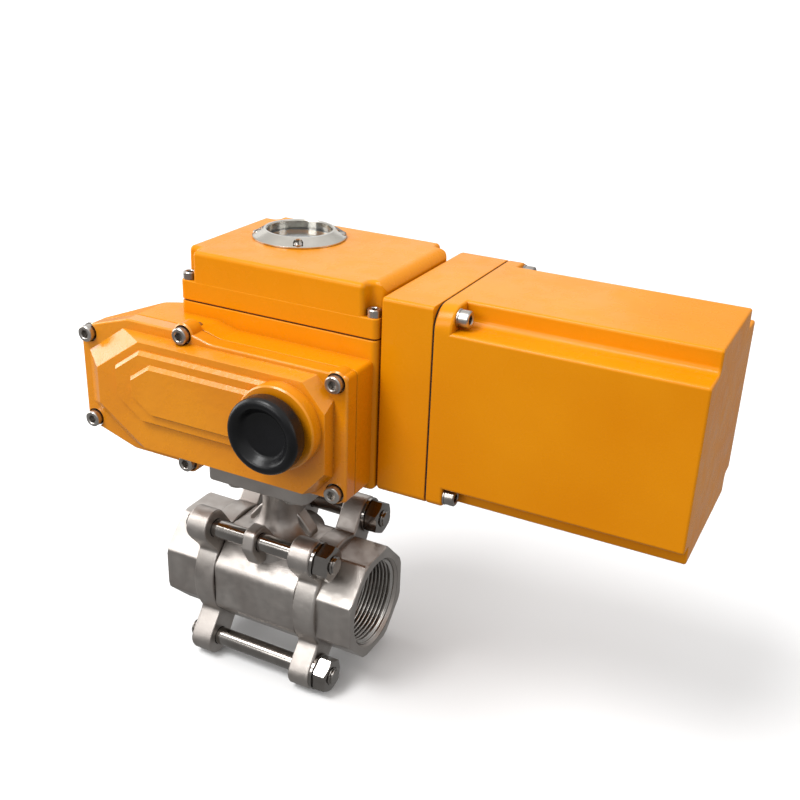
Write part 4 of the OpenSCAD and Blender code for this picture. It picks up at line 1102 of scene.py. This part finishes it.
def stage_floor():
    mesh = bpy.data.meshes.new("floor")
    bm = bmesh.new()
    bmesh.ops.create_grid(bm, x_segments=2, y_segments=2, size=40.0)
    bm.to_mesh(mesh)
    bm.free()
    floor = bpy.data.objects.new("floor", mesh)
    floor.location = (0.05, 0.1, VALVE_FOOT - 0.0005)
    bpy.context.scene.collection.objects.link(floor)
    look = Look("pale_floor", Roughness=0.9)
    pale, paler = (0.86, 0.86, 0.86, 1), (0.88, 0.88, 0.88, 1)
    look.set("Base Color", look.mix(look.ramp(look.noise(3, 2), 0, 1), pale, paler))
    floor.data.materials.append(look.material)
    floor.visible_diffuse = False
    floor.visible_glossy = False


def area_light(name, where, target, size, power, colour=(1, 1, 1)):
    data = bpy.data.lights.new(name, "AREA")
    data.shape = "RECTANGLE"
    data.size, data.size_y = size
    data.energy = power
    data.color = colour
    light = bpy.data.objects.new(name, data)
    light.location = where
    light.rotation_euler = (Vector(target) - Vector(where)).to_track_quat("-Z", "Y").to_euler()
    bpy.context.scene.collection.objects.link(light)


def sun(name, towards, power, spread):
    data = bpy.data.lights.new(name, "SUN")
    data.energy = power
    data.angle = math.radians(spread)
    light = bpy.data.objects.new(name, data)
    light.rotation_euler = Vector(towards).to_track_quat("-Z", "Y").to_euler()
    bpy.context.scene.collection.objects.link(light)


def world():
    """White studio dome, brighter above than at the horizon."""
    made = bpy.data.worlds.new("studio")
    bpy.context.scene.world = made
    made.use_nodes = True
    tree = made.node_tree
    coords = tree.nodes.new("ShaderNodeTexCoord")
    split = tree.nodes.new("ShaderNodeSeparateXYZ")
    ramp = tree.nodes.new("ShaderNodeMapRange")
    for key, number in (("From Min", 0.0), ("From Max", 0.9), ("To Min", 0.28), ("To Max", 0.92)):
        ramp.inputs[key].default_value = number
    tree.links.new(coords.outputs["Generated"], split.inputs[0])
    tree.links.new(split.outputs["Z"], ramp.inputs["Value"])
    background = tree.nodes["Background"]
    background.inputs["Color"].default_value = (1.0, 1.0, 1.0, 1)
    tree.links.new(ramp.outputs[0], background.inputs["Strength"])


def camera():
    """Same angle as the reference: 26 degrees round, 24 degrees up, rolled by 2.3 degrees.

    The turn is a rotation vector, its length is the angle in radians.
    """
    pixels, focal_pixels = 800, 1060.3
    data = bpy.data.cameras.new("camera")
    data.sensor_width = 36
    data.lens = data.sensor_width * focal_pixels / pixels
    data.clip_start = 0.01
    data.clip_end = 20
    obj = bpy.data.objects.new("camera", data)
    turn = Vector((1.93881, 0.49074, -0.26858))
    rotation = Matrix.Rotation(turn.length, 3, turn.normalized())
    right, down, ahead = rotation[0], rotation[1], rotation[2]
    matrix = Matrix((right, -down, -ahead)).transposed().to_4x4()
    matrix.translation = Vector((0.2823, -0.4337, 0.3394))
    obj.matrix_world = matrix
    bpy.context.scene.collection.objects.link(obj)
    bpy.context.scene.camera = obj


stage_floor()
world()
sun("key", (0.45, 0.62, -1.25), 1.9, 25)
area_light("front", (-0.35, -1.3, 0.75), (0.05, 0.0, 0.1), (0.7, 0.5), 5.0)
area_light("left", (-1.0, -0.08, 0.30), (-0.05, -0.05, 0.13), (0.7, 0.7), 5.0)
area_light("back", (-0.62, 0.96, 0.66), (0.05, 0.0, 0.15), (1.2, 0.6), 1.3)
area_light("right", (1.3, 0.2, 0.5), (0.2, 0.0, 0.12), (0.6, 0.6), 2.2)
camera()
bpy.context.scene.view_settings.view_transform = "Standard"
bpy.context.scene.view_settings.look = "None"
